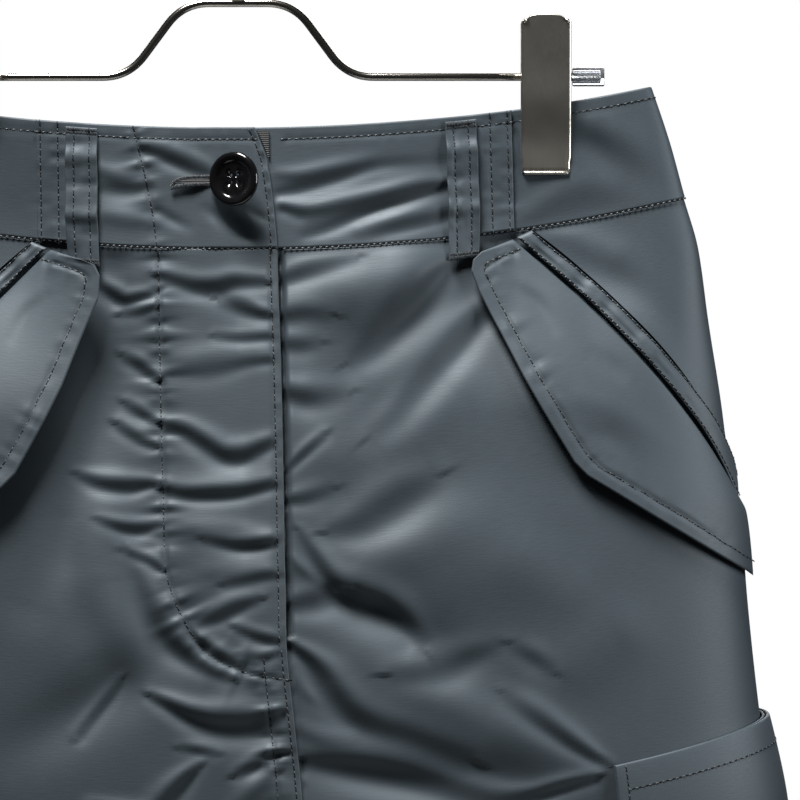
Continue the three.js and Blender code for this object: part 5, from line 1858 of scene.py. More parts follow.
@dataclass
class BeltLoops:
    """Five strips sewn down at both ends."""

    finish: Finish
    sewing: SewnRows
    wide: float = 13.0
    top: float = 2.0
    bottom: float = 60.5
    seat: float = 0.55
    stand: float = 1.5
    wall: float = 1.1
    inset: float = 3.4
    half_skirt: float = 168.0
    puffs: tuple[tuple[float, float], ...] = ((8, -0.4), (15, 0.8), (26, -0.6), (39, 0.9), (50, -0.5))
    places: tuple[LoopPlace, ...] = (
        LoopPlace("belt_loop_front_left", 75.5, False), LoopPlace("belt_loop_front_right", -82.6, False),
        LoopPlace("belt_loop_back_left", 66, True), LoopPlace("belt_loop_back_right", -66, True),
        LoopPlace("belt_loop_centre_back", 0, True))

    def lift(self, place: LoopPlace, share: Array, across: Array) -> Array:
        """Inner face of a loop over the skirt's face.

        Args:
            place: Which loop.
            share: Share of its length from the top.
            across: Distance from the centre, seen from the front.

        Returns:
            The lift in millimetres.
        """
        on_band = 0.0 if place.back else Waistband.up(int(np.sign(place.across)), np.abs(across))
        seat = BAND_OUTER + self.seat + on_band * (1 - smoothstep(share, 0.75, 1))
        return seat + self.stand * np.sin(math.pi * share)

    def relief(self, place: LoopPlace, seed: int) -> Relief:
        """A loop's two rows of stitches and the small ridges across it.

        Args:
            place: Which loop.
            seed: Start of its chance.

        Returns:
            Its creases.
        """
        rows = []
        for i, side in enumerate((-1, 1)):
            at = place.across + side * (self.wide / 2 - self.inset)
            rise = float(GARMENT.rise(30.0)) * (at / self.half_skirt) ** 2
            path = ((at, self.top + 1 - rise), (at, 30 - rise), (at, self.bottom - 2 - rise))
            rows.append(Puckers(path, seed + 3 * i, high=0.75, pitch=3.4, left=3.0, right=3.0, groove=0.35))
        rise = float(GARMENT.rise(30.0)) * (place.across / self.half_skirt) ** 2
        for drop, high in self.puffs:
            ends = (place.across - self.wide / 2, place.across + self.wide / 2)
            rows.append(Crease(tuple((end, drop - rise, 3.2, high) for end in ends)))
        return Relief(back=tuple(rows)) if place.back else Relief(front=tuple(rows))

    def build(self) -> None:
        for i, place in enumerate(self.places):
            relief = self.relief(place, 60 + 9 * i)
            drops = spaced((self.top, self.bottom, 0.8), rim=0.55)[:, None]
            shares = (drops - self.top) / (self.bottom - self.top)
            offsets = spaced((-self.wide / 2, self.wide / 2, 0.85), rim=0.55)[None]
            across = place.across + offsets
            lift = self.lift(place, shares, across) + self.wall / 2
            piece = cloth_piece(f"cloth_{place.node}", place.angle(across, drops), drops, lift, self.wall, relief,
                                self.finish, rim=0.55)
            dress_cloth(piece, place.node)
            self.sew_loop(place, relief)

    def sew_loop(self, place: LoopPlace, relief: Relief) -> None:
        """Sews one loop's two rows and its tacks.

        Args:
            place: Which loop.
            relief: Its creases.
        """
        drops = np.linspace(self.top + 0.8, self.bottom - 1.5, 60)
        shares = (drops - self.top) / (self.bottom - self.top)
        for side in (-1, 1):
            across = np.full(60, place.across + side * (self.wide / 2 - self.inset))
            lift = self.lift(place, shares, across) + self.wall + THREAD_LIFT
            self.sewing.add("stitches_loops", Stitch.TOP, place.angle(across, drops), drops, lift, relief)
        for drop in (self.top + 1.3, self.top + 2.6, self.bottom - 0.9, self.bottom - 2.2):
            across = place.across + np.linspace(-self.wide / 2 + 0.6, self.wide / 2 - 0.6, 16)
            level = np.full(16, drop)
            lift = self.lift(place, (level - self.top) / (self.bottom - self.top), across) + self.wall + 0.1
            self.sewing.add("stitches_loops", Stitch.TACK, place.angle(across, level), level, lift, relief)


# Pockets
WELT: tuple[EdgeRows, EdgeRows] = (
    ((0, 98.3, 48.6), (0.3, 133, 81.5), (0.58, 159, 111), (0.8, 176.3, 136), (1, 187, 160)),
    ((0, 104.6, 45.8), (0.3, 141.5, 79.4), (0.58, 165, 107), (0.8, 180, 130), (1, 187, 149)))
FLAP_SEWN: EdgeRows = ((0, 96.6, 49.5), (0.3, 131.5, 82.8), (0.58, 157.6, 112.3), (0.8, 175, 137.3), (1, 190, 166))
# the free edge hangs nearer the centre on the image's left
FLAP_FREE: dict[int, EdgeRows] = {
    1: ((0, 82, 55), (0.04, 78.2, 58.4), (0.09, 77.6, 63.2), (0.16, 81.5, 73.4), (0.36, 100, 110),
        (0.56, 119.4, 144), (0.62, 124.5, 149.5), (0.8, 151, 166.5), (1, 192, 192.5)),
    -1: ((0, 82, 55), (0.04, 76.0, 57.8), (0.09, 74.2, 62.4), (0.16, 75.2, 72.4), (0.36, 92.0, 109),
         (0.56, 112, 144), (0.62, 117.5, 149.5), (0.8, 146, 166.5), (1, 191, 192.5))}


def edge_line(table: EdgeRows, steps: Array, smooth: bool) -> tuple[Array, Array]:
    """Places along one edge of a strip.

    Args:
        table: Rows of step, across and down.
        steps: Where to read it.
        smooth: Whether the edge is a smooth curve.

    Returns:
        The angles and the drops.
    """
    rows = np.array(table, float)
    if smooth:
        across, down = Curve(rows[:, :2].tolist())(steps), Curve(rows[:, [0, 2]].tolist())(steps)
    else:
        across, down = np.interp(steps, rows[:, 0], rows[:, 1]), np.interp(steps, rows[:, 0], rows[:, 2])
    return GARMENT.seen_at(across, down)


def strip(handed: int, edges: tuple[EdgeRows, EdgeRows], smooth: bool, steps: Array,
          shares: Array | float) -> tuple[Array, Array]:
    """Places between two edges.

    Args:
        handed: 1 for the image's right, -1 for its left.
        edges: The first edge, a smooth curve, and the second.
        smooth: Whether the second is a smooth curve too.
        steps: Steps along both.
        shares: Shares from the first to the second.

    Returns:
        Angles and drops, in the shape of steps and shares together.
    """
    a0, d0 = edge_line(edges[0], steps, True)
    a1, d1 = edge_line(edges[1], steps, smooth)
    return handed * (a0 + (a1 - a0) * shares), d0 + (d1 - d0) * shares


@dataclass
class HipPockets:
    """A welt along each slanted opening, and the pointed flap that hangs from it."""

    finish: Finish
    sewing: SewnRows
    welt_lift: float = 1.95
    welt_wall: float = 1.1
    flap_sewn: float = 1.1
    flap_stand: float = 3.4
    flap_stand_right: float = 8.2
    flap_wall: float = 1.5
    flap_inset: float = 5.2

    def flap_grid(self, handed: int, steps: Array, shares: Array) -> tuple[Array, Array]:
        """Angles and drops of the flap at steps along it and shares from its sewn edge to the free one."""
        return strip(handed, (FLAP_SEWN, FLAP_FREE[handed]), False, steps, shares)

    def flap_lift(self, handed: int, steps: Array, shares: Array) -> Array:
        """Inner face of the flap over the skirt's face, at steps along it and shares across it."""
        stand = np.where(handed < 0, self.flap_stand_right, self.flap_stand) * np.asarray(shares) ** 0.6
        return self.flap_sewn + stand * (1 - 0.55 * smoothstep(steps, 0.74, 1.0))

    def inset_path(self, handed: int, inset: float) -> list[tuple[float, float]]:
        """The row of stitches inside the flap's free edge.

        Args:
            handed: 1 for the image's right, -1 for its left.
            inset: Its distance from the edge.

        Returns:
            Steps along the flap and shares across it.
        """
        steps = np.linspace(0.0, 1.0, 161)
        found = []
        free_a, free_d = edge_line(FLAP_FREE[handed], steps, False)
        sewn_a, sewn_d = edge_line(FLAP_SEWN, steps, True)
        start, end = GARMENT.face(sewn_a, sewn_d), GARMENT.face(free_a, free_d)
        side = end[0] - start[0]
        for i, step in enumerate(steps):
            for share in np.linspace(0.98, 0.04, 95):
                here = start[i] + (end[i] - start[i]) * share
                top = np.linalg.norm(np.cross(side, here - start[0])) / np.linalg.norm(side)
                if np.linalg.norm(end - here, axis=1).min() >= inset and top >= inset:
                    found.append((float(step), float(share)))
                    break
        return found

    def flap_relief(self, handed: int) -> Relief:
        """Soft dents of the flap and the puckers along its edge.

        Args:
            handed: 1 for the image's right, -1 for its left.

        Returns:
            Its creases.
        """
        path = []
        for step, share in self.inset_path(handed, self.flap_inset)[::8]:
            angle, drop = self.flap_grid(handed, np.array([step]), np.array([share]))
            at = GARMENT.face(angle, drop)[0]
            path.append((float(at[0]), float(-at[2])))
        dents = (((102.0, 69.1, 5, 0.4), (114.7, 78.0, 6, 0.9), (122.9, 95.3, 6, 0.3)),
                 ((97.7, 71.2, 3, -0.4), (106.1, 77.8, 3.5, -0.9), (112.3, 88.6, 3, -0.3)),
                 ((129.2, 99.7, 4, -0.4), (137.7, 105.3, 4.5, -1.0), (144.0, 110.8, 4, -0.3)),
                 ((124.5, 117.9, 5, 0.5), (139.4, 123.6, 6, 1.0), (154.1, 134.6, 6, 0.3)),
                 ((126.3, 131.8, 4, -0.5), (134.9, 134.2, 5, -0.9), (143.2, 142.9, 4, -0.3)))
        creases = [Crease(tuple((handed * a, d, w, 0.6 * h) for a, d, w, h in dent)) for dent in dents]
        seed = 90 if handed > 0 else 95
        return Relief(front=(*creases, Puckers(tuple(path), seed, high=0.75, pitch=2.9, left=4.2, right=3.4,
                                               groove=0.5)))

    def build(self) -> None:
        for hand, handed in SIDES:
            self.welt(hand, handed)
            relief = self.flap_relief(handed)
            steps = np.unique(np.concatenate([spaced((0, 1, 0.0085)), [0.04, 0.09, 0.16, 0.36, 0.56, 0.62]]))
            if len(steps) % 2 == 0:
                steps = np.insert(steps, 60, (steps[59] + steps[60]) / 2)
            shares = spaced((0, 50, 1.15), rim=0.8)[None] / 50
            angle, drop = self.flap_grid(handed, steps[:, None], shares)
            lift = self.flap_lift(handed, steps[:, None], shares) + self.flap_wall / 2
            piece = cloth_piece(f"cloth_hip_flap_{hand}", angle, drop, lift, self.flap_wall, relief, self.finish,
                                edges="tbr", rim=0.75)
            dress_cloth(piece, f"hip_flap_{hand}")
            places = np.array(self.inset_path(handed, self.flap_inset))
            angle, drop = self.flap_grid(handed, places[:, 0], places[:, 1])
            lift = self.flap_lift(handed, places[:, 0], places[:, 1]) + self.flap_wall + THREAD_LIFT
            self.sewing.add(f"stitches_hip_{hand}", Stitch.TOP, angle, drop, lift, relief)

    def welt(self, hand: str, handed: int) -> None:
        """One welt with its two rows of coarse stitches.

        Args:
            hand: Name of its side.
            handed: 1 for the image's right, -1 for its left.
        """
        steps = spaced((0, 1, 0.0078))[:, None]
        shares = spaced((0, 8, 0.9), rim=0.5)[None] / 8
        angle, drop = strip(handed, WELT, True, steps, shares)
        middle = []
        for step in np.linspace(0, 1, 14):
            at = GARMENT.face(*strip(handed, WELT, True, np.array([step]), 0.5))[0]
            middle.append((float(at[0]), float(-at[2])))
        relief = Relief(front=(Puckers(tuple(middle), 101 if handed > 0 else 104, high=1.1, pitch=5.2, left=4.5,
                                       right=4.5, groove=-0.35),))
        piece = cloth_piece(f"cloth_hip_welt_{hand}", angle, drop, self.welt_lift, self.welt_wall, relief,
                            self.finish, rim=0.5)
        dress_cloth(piece, f"hip_welt_{hand}")
        line = np.linspace(0.01, 0.99, 150)
        for share, kind in ((0.10, Stitch.COARSE), (0.93, Stitch.TOP)):
            self.sewing.add(f"stitches_hip_{hand}", kind, *strip(handed, WELT, True, line, share),
                            self.welt_lift + self.welt_wall / 2 + 0.04, relief)


@dataclass
class CargoPockets:
    """A patch pocket over each side seam, with its own flap."""

    finish: Finish
    sewing: SewnRows
    front: float = 42.0
    top: float = 276.0
    side_top: float = 266.0
    body: float = 178.0
    flap: float = 62.0
    point: float = 12.0
    inset: float = 5.0
    band: float = 11.0
    flap_wall: float = 1.5
    flap_out: float = 1.53
    side_row: float = 0.018

    def round_at(self, share: Array | float) -> Array:
        """Angle from the front at a share of the pocket's width."""
        return self.front + (180 - 2 * self.front) * share

    def top_at(self, angle: Array) -> Array:
        """Drop of the pocket's upper edge at an angle."""
        return self.side_top + (self.top - self.side_top) * (90 - angle) / (90 - self.front)

    @staticmethod
    def pocket_lift(share: Array, depth: Array) -> Array:
        """Inner face of the pocket over the skirt's face."""
        bulge = np.sin(math.pi * np.clip(share, 0, 1)) ** 0.5
        return 0.7 + 2.6 * bulge * np.clip(np.sin(math.pi * np.minimum(1, depth * 1.02)), 0, 1) ** 0.7

    @staticmethod
    def flap_lift(depth: Array) -> Array:
        """Inner face of the flap over the skirt's face."""
        return 2.4 + 3.2 * np.sin(math.pi / 2 * np.clip(depth, 0, 1)) ** 0.7

    def flap_depth(self, share: Array) -> Array:
        """Length of the flap at a share of its width."""
        return self.flap + self.point * (1 - np.abs(2 * share - 1))

    def build(self) -> None:
        for hand, handed in SIDES:
            shares = spaced((0, 310, 2.4), rim=0.7)[None] / 310
            depths = spaced((0, self.body, 2.4), rim=0.7)[:, None] / self.body
            angle = self.round_at(shares)
            drop = self.top_at(angle) + self.body * depths
            relief = self.relief(handed)
            lift = self.pocket_lift(shares, depths) + CLOTH / 2
            piece = cloth_piece(f"cloth_cargo_pocket_{hand}", handed * angle, drop, lift, CLOTH, relief,
                                self.finish, rim=0.6)
            dress_cloth(piece, f"cargo_pocket_{hand}")
            depths = spaced((0, 70, 1.6), rim=0.8)[:, None] / 70
            drop = self.top_at(angle) + self.flap_depth(shares) * depths
            lift = self.flap_lift(depths) + self.flap_wall / 2
            piece = cloth_piece(f"cloth_cargo_flap_{hand}", handed * angle, drop, lift, self.flap_wall, relief,
                                self.finish, rim=0.75)
            dress_cloth(piece, f"cargo_flap_{hand}")
            self.sew(hand, handed, relief)

    def relief(self, handed: int) -> Relief:
        """Soft dents of pocket and flap.

        Args:
            handed: 1 for the image's right, -1 for its left.

        Returns:
            The creases.
        """
        marks = (((136, 292, 4, 0.3), (150, 300, 6, 0.9), (172, 300, 6, 0.3)),
                 ((140, 318, 6, -0.4), (160, 326, 7, -1.0), (184, 322, 6, -0.3)),
                 ((150, 360, 8, 0.4), (168, 392, 9, 1.2), (176, 426, 8, 0.4)))
        creases = tuple(Crease(tuple((handed * a, d, w, h) for a, d, w, h in mark)) for mark in marks)
        return Relief(front=creases, back=creases)

    def sew(self, hand: str, handed: int, relief: Relief) -> None:
        """Sews one pocket's edges and its flap.

        Args:
            hand: Name of its side.
            handed: 1 for the image's right, -1 for its left.
            relief: The cloth's creases.
        """
        def row(around: Array, drop: Array, lift: Array) -> None:
            """Adds a row at angles from the front, with its drops and lifts."""
            self.sewing.add(f"stitches_cargo_{hand}", Stitch.TOP, handed * around, drop, lift, relief)

        shares = np.linspace(0.02, 0.98, 300)
        angle = self.round_at(shares)
        deep = self.flap_depth(shares)
        for away in (self.band, deep - self.inset):
            row(angle, self.top_at(angle) + away, self.flap_lift(away / deep) + self.flap_out)
        for share in (self.side_row, 1 - self.side_row):
            side = np.full(60, self.round_at(share))
            depths = np.linspace(0.03, 0.93, 60)
            row(side, self.top_at(side) + self.flap_depth(np.array(share)) * depths,
                self.flap_lift(depths) + self.flap_out)
            depths = np.linspace(0.42, 0.97, 60)
            row(side, self.top_at(side) + self.body * depths,
                self.pocket_lift(np.array(share), depths) + CLOTH + THREAD_LIFT)
        row(angle, self.top_at(angle) + self.body - self.inset,
            self.pocket_lift(shares, np.full(300, 1 - self.inset / self.body)) + CLOTH + THREAD_LIFT)


# Fastening
@dataclass
class Fastening:
    """The sewn button, its buttonhole and the ribbed tape beside the band's end."""

    finishes: Finishes
    sewing: SewnRows
    across: float = -18.6
    down: float = 21.8
    radius: float = 11.6
    thick: float = 3.6
    rim: float = 3.4
    dish: float = 1.5
    turn: float = 26.0
    shank_long: float = 4.1
    shank_gap: float = 1.5
    hole_at: float = 1.5
    hole_radius: float = 0.85
    tape_start: float = -4.4
    tape_wall: float = 0.9
    slit_start: float = -43.5
    slit_long: float = 16.5
    slit_down: float = 22.3
    slit_half: float = 1.25
    slit_wall: float = 0.3
    cords: tuple[Pairs, ...] = (((-45.8, 24.4), (-44.2, 22.3), (-41, 21.0), (-36, 20.5), (-27, 20.4)),
                                ((-45.8, 24.9), (-43.6, 24.4), (-40, 23.9), (-35, 23.7), (-27, 23.7)))

    def foot(self) -> tuple[Array, float]:
        """Where the button is sewn, and the depth of its disc's back.

        Returns:
            The foot in the skirt's frame, and the distance of the disc's back in front of it.
        """
        angle, drop = GARMENT.seen_at(np.array([self.across]), np.array([self.down]))
        lift = BAND_OUTER + LAP_RISE + SEAM_GAP
        return GARMENT.layer(angle, drop, lift, Relief())[0][0], self.shank_long + self.shank_gap

    def disc(self) -> Piece:
        """The dished disc with its four holes.

        Returns:
            The object.
        """
        r, t = self.radius, self.thick
        corners = [(0, 0), (r - 1.8, 0), (r, t * 0.42), (r - 0.5, t * 0.86), (r - self.rim / 2, t),
                   (r - self.rim, t * 0.84), (r - self.rim - 1.3, t - self.dish), (0, t - self.dish - 0.25)]
        points, faces = turned(rounded(corners, 0.8, 4), 72)
        disc = new_mesh("button_disc", points, faces, self.finishes.horn)
        cutters = []
        for i, (x, y) in enumerate(((1, 1), (-1, 1), (1, -1), (-1, -1))):
            wide = self.hole_radius
            hole_points, hole_faces = turned([(0, -1), (wide, -1), (wide, t + 1), (0, t + 1)], 20)
            moved = hole_points + np.array([x, y, 0.0]) * self.hole_at
            cutter = new_mesh(f"hole_{i}", moved, hole_faces, self.finishes.horn)
            cut = disc.modifiers.new(f"hole_{i}", "BOOLEAN")
            cut.operation, cut.object, cut.solver = "DIFFERENCE", cutter, "EXACT"
            cutters.append(cutter)
        made = bpy.data.meshes.new_from_object(disc.evaluated_get(bpy.context.evaluated_depsgraph_get()))
        disc.modifiers.clear()
        for cutter in cutters:
            bpy.data.objects.remove(cutter)
        disc.data = made
        local = np.zeros((len(made.vertices), 3), np.float32)
        made.vertices.foreach_get("co", local.ravel())
        foot, front = self.foot()
        turn = self.turn * DEGREE
        # the disc's axis points at the viewer, turned a little to the image's left
        x, y, z = local[:, 0], -local[:, 2], local[:, 1]
        turned_points = np.stack([x * math.cos(turn) + y * math.sin(turn),
                                  -x * math.sin(turn) + y * math.cos(turn), z], axis=1)
        turned_points += np.array([foot[0], foot[1] - front, foot[2]])
        made.vertices.foreach_set("co", placed(turned_points).astype(np.float32).ravel())
        made.update()
        return disc

    def tape(self) -> Piece:
        """The ribbed tape.

        Returns:
            The object.
        """
        drops = spaced((1.5, 13.0, 0.9), rim=0.3)[:, None]
        shares = spaced((0, 4, 0.6), rim=0.3)[None] / 4
        start = GARMENT.angle_at(self.tape_start, drops)
        end = GARMENT.angle_at(CENTRE_EDGE(drops) + 0.5, drops)
        angle = start + (end - start) * shares
        return cloth_piece("tape_ribbed", angle, drops, BAND_OUTER + 0.75, self.tape_wall, Relief(),
                           self.finishes.tape, rim=0.3)

    def build(self) -> None:
        """Builds the fastening and sews the buttonhole."""
        disc = self.disc()
        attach(disc, ROOT)
        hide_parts("button")
        LOG.info("%s: %d faces", disc.name, len(disc.data.polygons))
        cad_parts["button_shank"].data.materials.clear()
        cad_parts["button_shank"].data.materials.append(self.finishes.thread)
        tape = self.tape()
        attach(tape, ROOT)
        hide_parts("waist_tape")
        lift = BAND_OUTER + LAP_RISE + 0.08
        for path in self.cords:
            self.sewing.add_seen("stitches_buttonhole", Stitch.HOLE, path, lift, BAND[-1])
        # a thin black sheet in the buttonhole's cut between the corded rows: painted shade
        slit_shade = self.slit_shade()
        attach(slit_shade, ROOT)

    def slit_shade(self) -> Piece:
        """Painted shade in the buttonhole's cut between its two corded rows, laid as a thin sheet in the tape's
        black.

        Returns:
            The object.
        """
        shares = spaced((0, 16, 1.0), rim=0.4)[None] / 16
        sides = spaced((-1, 1, 0.5))[:, None]
        across = self.slit_start + self.slit_long * shares
        swell = np.sin(math.pi * np.clip(shares * 0.9 + 0.05, 0, 1)) ** 0.5
        down = self.slit_down + self.slit_half * sides * swell
        angle, drop = GARMENT.seen_at(across, down)
        return cloth_piece("buttonhole_slit_shade", angle, drop, BAND_OUTER + LAP_RISE + 0.1, self.slit_wall, BAND[-1],
                           self.finishes.tape, rim=0.3)


# Hanger
@dataclass
class Hanger:
    """The wire with its raised middle, the hook, the collar, the clear caps and two sprung clips."""

    finishes: Finishes
    bar_height: float = -105.0
    bar_half: float = 152.0
    rise_foot: float = 46.0
    rise_top: float = 23.0
    rise_high: float = 31.0
    bend: float = 11.0
    bow: float = 20.0
    stem_top: float = -50.0
    tip: float = 195.0
    collar_radius: float = 3.6
    collar_high: float = 7.0
    clip_top: float = -79.0
    clip_bottom: float = -145.3
    plate: float = 1.0
    crown: float = 3.2
    jaw: float = 2.5
    folded: float = 2.3
    sheet: float = 0.7
    lip_radius: float = 0.75
    cap_wall: float = 1.5
    cap_reach: float = 12.0
    cap_radii: tuple[float, float] = (4.0, 2.0)

    def bar_path(self) -> Array:
        """Middle of the bent wire.

        Returns:
            Points in metres.
        """
        corners = [np.array(p, float) for p in (
            (-self.bar_half, 0), (-self.rise_foot, 0), (-self.rise_top, self.rise_high),
            (self.rise_top, self.rise_high), (self.rise_foot, 0), (self.bar_half, 0))]
        points = [corners[0]]
        for before, here, after in zip(corners, corners[1:], corners[2:]):
            start = here + (before - here) / np.linalg.norm(before - here) * self.bend
            end = here + (after - here) / np.linalg.norm(after - here) * self.bend
            points.extend([(1 - t) ** 2 * start + 2 * t * (1 - t) * here + t * t * end
                           for t in np.linspace(0, 1, 13)])
        points.append(corners[-1])
        line = np.array(points)
        return np.stack([line[:, 0], 0 * line[:, 0], line[:, 1] + self.bar_height], axis=1) * MM

    def hook_path(self) -> Array:
        """Middle of the hook's wire.

        Returns:
            Points in metres.
        """
        foot = self.bar_height + self.rise_high + WIRE_RADIUS + SEAM_GAP + self.collar_high + SEAM_GAP
        radius = self.bow + WIRE_RADIUS
        bow = [(radius * math.cos(a * DEGREE), -self.bow + radius * math.sin(a * DEGREE))
               for a in (-40, -20, 0, 22.5, 45, 67.5, 90, 112.5, 135, 157.5, 180, self.tip)]
        line = smooth_path(np.array([(0, foot), (0, self.stem_top - 4), (5, self.stem_top + 6), *bow]), 6)
        return np.stack([line[:, 0], 0 * line[:, 0], line[:, 1]], axis=1) * MM

    def clip_front(self, name: str, across: float) -> Piece:
        """One clip's front plate, with its edges folded back and its top rounded.

        Args:
            name: Name of the piece.
            across: Middle of the clip from the hook.

        Returns:
            The object.
        """
        line = Curve(((self.clip_bottom, self.jaw), (self.clip_bottom + 10, self.jaw), (-114, 6.2), (-100, 7.4),
                      (self.clip_top, 9.6)))
        heights = spaced((self.clip_bottom, self.clip_top - 8, 2.2), (self.clip_top - 8, self.clip_top, 0.7))
        half = CLIP_WIDE / 2
        section = rounded([(-half, self.folded), (-half, 0), (half, 0), (half, self.folded)], 1.1, 5)
        x = np.array([p[0] for p in section])
        back = np.array([p[1] for p in section])
        extra = np.linspace(-half + 1.6, half - 1.6, 13)
        x, back = np.concatenate([x[:7], extra, x[7:]]), np.concatenate([back[:7], 0 * extra, back[7:]])
        rows = []
        for z in heights:
            near_top = np.clip((z - (self.clip_top - self.crown)) / self.crown, 0, 1)
            narrow = 1 - 0.16 * near_top**3
            crown = self.crown * (x / half) ** 4 * near_top
            out = line(z) + self.plate - back
            low = 1.0 if z > self.clip_bottom + 6 else 0.96
            rows.append(np.stack([across + x * narrow * low, -out, z - crown + 0 * x], axis=1))
        grid = np.array(rows)
        run, down = np.gradient(grid, axis=1), np.gradient(grid, axis=0)
        normal = np.cross(run, down)
        normal /= np.linalg.norm(normal, axis=2, keepdims=True)
        if normal[len(rows) // 2, grid.shape[1] // 2, 1] > 0:
            normal = -normal
        rows_n, columns = grid.shape[:2]
        outer = grid[:rows_n - (1 - rows_n % 2), :columns - (1 - columns % 2)]
        inner = (grid - normal * self.sheet)[:outer.shape[0], :outer.shape[1]]
        uv = np.zeros((*outer.shape[:2], 2))
        return shell(name, outer * MM, inner * MM, uv, self.finishes.brushed)

    def lip(self, name: str, across: float) -> Piece:
        """The rolled lip under a clip's front plate.

        Args:
            name: Name of the piece.
            across: Middle of the clip from the hook.

        Returns:
            The object.
        """
        half = CLIP_WIDE / 2 - 1.2
        xs = np.linspace(-half, half, 9)
        path = np.stack([across + xs, 0 * xs - self.jaw - self.lip_radius, 0 * xs + self.clip_bottom - 0.1],
                        axis=1)
        return tube(name, path * MM, self.lip_radius * MM, 12, self.finishes.brushed)

    def build(self) -> None:
        """Builds the hanger and dresses the nodes that stay."""
        bar = tube("wire_bar", self.bar_path(), WIRE_RADIUS * MM, 20, self.finishes.wire)
        hook = tube("wire_hook", self.hook_path(), WIRE_RADIUS * MM, 20, self.finishes.wire)
        for piece, node in ((bar, "hanger_bar"), (hook, "hanger_hook")):
            self.own(piece, node, "polished_wire")
        foot = self.bar_height + self.rise_high + WIRE_RADIUS + SEAM_GAP
        r, h = self.collar_radius, self.collar_high
        points, faces = turned(rounded([(0, 0), (r, 0), (r, h), (0, h)], 0.9, 4), 40)
        collar = new_mesh("collar", (points + np.array([0, 0, foot])) * MM, faces, self.finishes.brushed)
        self.own(collar, "hanger_collar", "brushed_clip")
        for hand, handed in (("left", -1), ("right", 1)):
            self.own(self.cap(hand, handed), f"end_cap_{hand}", "clear_cap")
        for hand, pinch in zip(("right", "left"), GARMENT.pinches):
            across = CENTRE_FRONT[0] + pinch
            plate = self.clip_front(f"clip_plate_{hand}", across)
            self.own(plate, f"clip_{hand}_front", "brushed_clip")
            lip = self.lip(f"clip_lip_{hand}", across)
            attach(lip, ROOT)
            for node, finish in ((f"clip_{hand}_back", self.finishes.brushed),
                                 (f"clip_{hand}_spring", self.finishes.wire)):
                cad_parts[node].data.materials.clear()
                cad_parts[node].data.materials.append(finish)

    def cap(self, hand: str, handed: int) -> Piece:
        """One clear cap on the wire's end.

        Args:
            hand: Name of its side in the image.
            handed: 1 for the image's right, -1 for its left.

        Returns:
            The object.
        """
        mouth = self.cap_wall + self.cap_reach
        outer, inner = self.cap_radii
        corners = [(0, 0), (outer, 0), (outer, mouth), (inner, mouth), (inner, self.cap_wall), (0, self.cap_wall)]
        points, faces = turned(rounded(corners, 0.7, 4), 32)
        end = self.bar_half + self.cap_wall + SEAM_GAP
        x, y, z = points[:, 2], points[:, 0], points[:, 1]
        placed_points = np.stack([handed * (end - x), y, z + self.bar_height], axis=1)
        if signed_volume(placed_points, faces) < 0:
            faces = [f[::-1] for f in faces]
        return new_mesh(f"cap_{hand}", placed_points * MM, faces, self.finishes.clear)

    @staticmethod
    def own(piece: Piece, node: str, slot: str) -> None:
        """Says which solid a rigid piece stands for.

        Args:
            piece: The piece.
            node: The solid that it replaces.
            slot: A material slot's name; not used.
        """
        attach(piece, ROOT)
        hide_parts(node)
        LOG.info("%s: %d faces", piece.name, len(piece.data.polygons))


# Studio
@dataclass(frozen=True)
class Lamp:
    """A soft lamp aimed at the skirt: its place, width and height in metres, and its watts."""

    name: str
    place: tuple[float, float, float]
    size: tuple[float, float]
    power: float
    colour: Colour = (1, 1, 1)


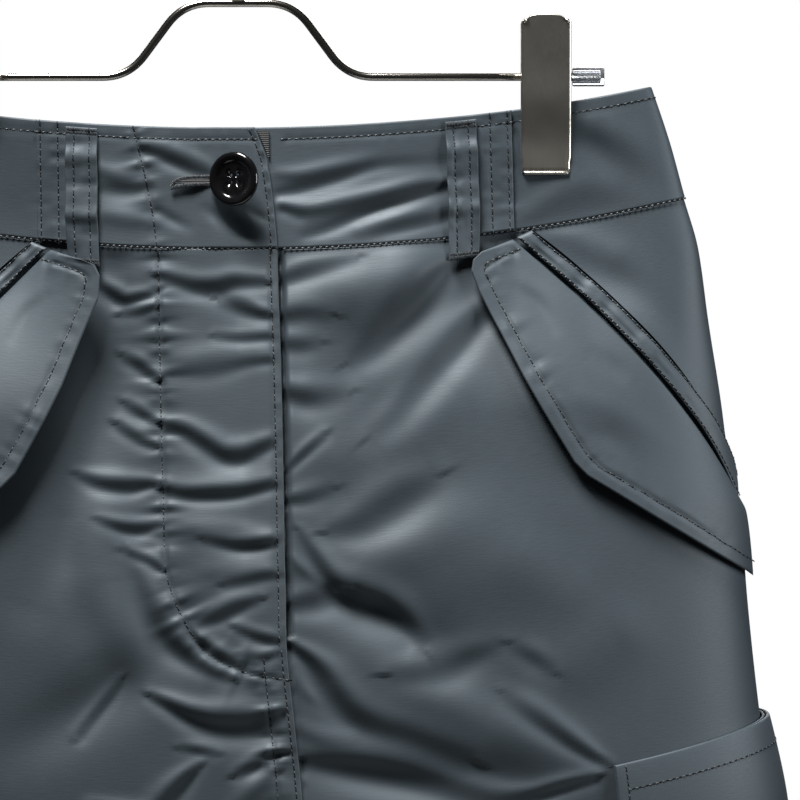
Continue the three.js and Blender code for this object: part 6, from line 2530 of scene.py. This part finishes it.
@dataclass
class Studio:
    """Plain soft light, a pale floor and the photograph's camera."""

    finish: Finish
    lamps: tuple[Lamp, ...] = (Lamp("key", (-0.35, -0.55, 1.4), (0.6, 0.6), 76.0, (1.0, 0.99, 0.97)),
                               Lamp("side", (0.74, -0.30, -0.14), (0.3, 0.4), 3.2, (0.97, 0.99, 1.0)),
                               Lamp("behind", (0.2, 1.5, 0.6), (1.4, 1.0), 14.0))
    fill: float = 0.018
    aim: Colour = (0.0680, 0.0, -0.2407)
    away: float = 3.2
    seen: float = 0.336
    floor_height: float = -1.55
    floor_radius: float = 0.95

    def camera(self) -> None:
        """A level camera in front of the skirt, at the photograph's framing."""
        data = bpy.data.cameras.new("camera")
        data.sensor_width = 36.0
        data.lens = 36.0 * self.away / self.seen
        camera = bpy.data.objects.new("camera", data)
        camera.location = (self.aim[0], -self.away, self.aim[2])
        camera.rotation_euler = (math.pi / 2, 0, 0)
        bpy.context.scene.collection.objects.link(camera)
        bpy.context.scene.camera = camera

    def lamp(self, lamp: Lamp) -> None:
        """Sets up one lamp.

        Args:
            lamp: Its sizes.
        """
        data = bpy.data.lights.new(lamp.name, "AREA")
        data.shape, data.size, data.size_y = "RECTANGLE", *lamp.size
        data.energy, data.color = lamp.power, lamp.colour
        made = bpy.data.objects.new(lamp.name, data)
        made.location = lamp.place
        made.rotation_euler = (Vector(self.aim) - Vector(lamp.place)).to_track_quat("-Z", "Y").to_euler()
        bpy.context.scene.collection.objects.link(made)

    def world(self) -> None:
        """White behind the object, and a darker even fill for what it lights."""
        world = bpy.data.worlds.new("studio")
        world.use_nodes = True
        nodes, links = world.node_tree.nodes, world.node_tree.links
        nodes.clear()
        path = nodes.new("ShaderNodeLightPath")
        plain, fill = nodes.new("ShaderNodeBackground"), nodes.new("ShaderNodeBackground")
        plain.inputs["Color"].default_value = (1, 1, 1, 1)
        fill.inputs["Color"].default_value = (0.93, 0.96, 1.0, 1)
        fill.inputs["Strength"].default_value = self.fill
        mix, out = nodes.new("ShaderNodeMixShader"), nodes.new("ShaderNodeOutputWorld")
        links.new(path.outputs["Is Camera Ray"], mix.inputs[0])
        links.new(fill.outputs[0], mix.inputs[1])
        links.new(plain.outputs[0], mix.inputs[2])
        links.new(mix.outputs[0], out.inputs[0])
        bpy.context.scene.world = world

    def floor(self) -> None:
        """The round pale floor."""
        turns = np.linspace(0, 2 * math.pi, 96, endpoint=False)
        points = np.stack([self.floor_radius * np.cos(turns), self.floor_radius * np.sin(turns),
                           np.full(96, self.floor_height)], axis=1)
        new_mesh("floor", points, [list(range(96))], self.finish, smooth=False)

    def build(self) -> None:
        """Builds the studio."""
        self.camera()
        self.world()
        self.floor()
        for lamp in self.lamps:
            self.lamp(lamp)
        scene = bpy.context.scene
        scene.view_settings.view_transform = "Standard"
        scene.view_settings.look = "None"


def main() -> None:
    """Builds every piece in order."""
    logging.basicConfig(level=logging.INFO, format="%(name)s: %(message)s")
    finishes = Finishes()
    sewing = SewnRows(finishes.thread, finishes.hole_shade)
    for made in (Panels, Waistband, BeltLoops, HipPockets, CargoPockets):
        made(finishes.satin, sewing).build()
    Fastening(finishes, sewing).build()
    sewing.sew()
    Hanger(finishes).build()
    Studio(finishes.floor).build()
    LOG.info("all pieces made")


if __name__ == "__main__":
    main()
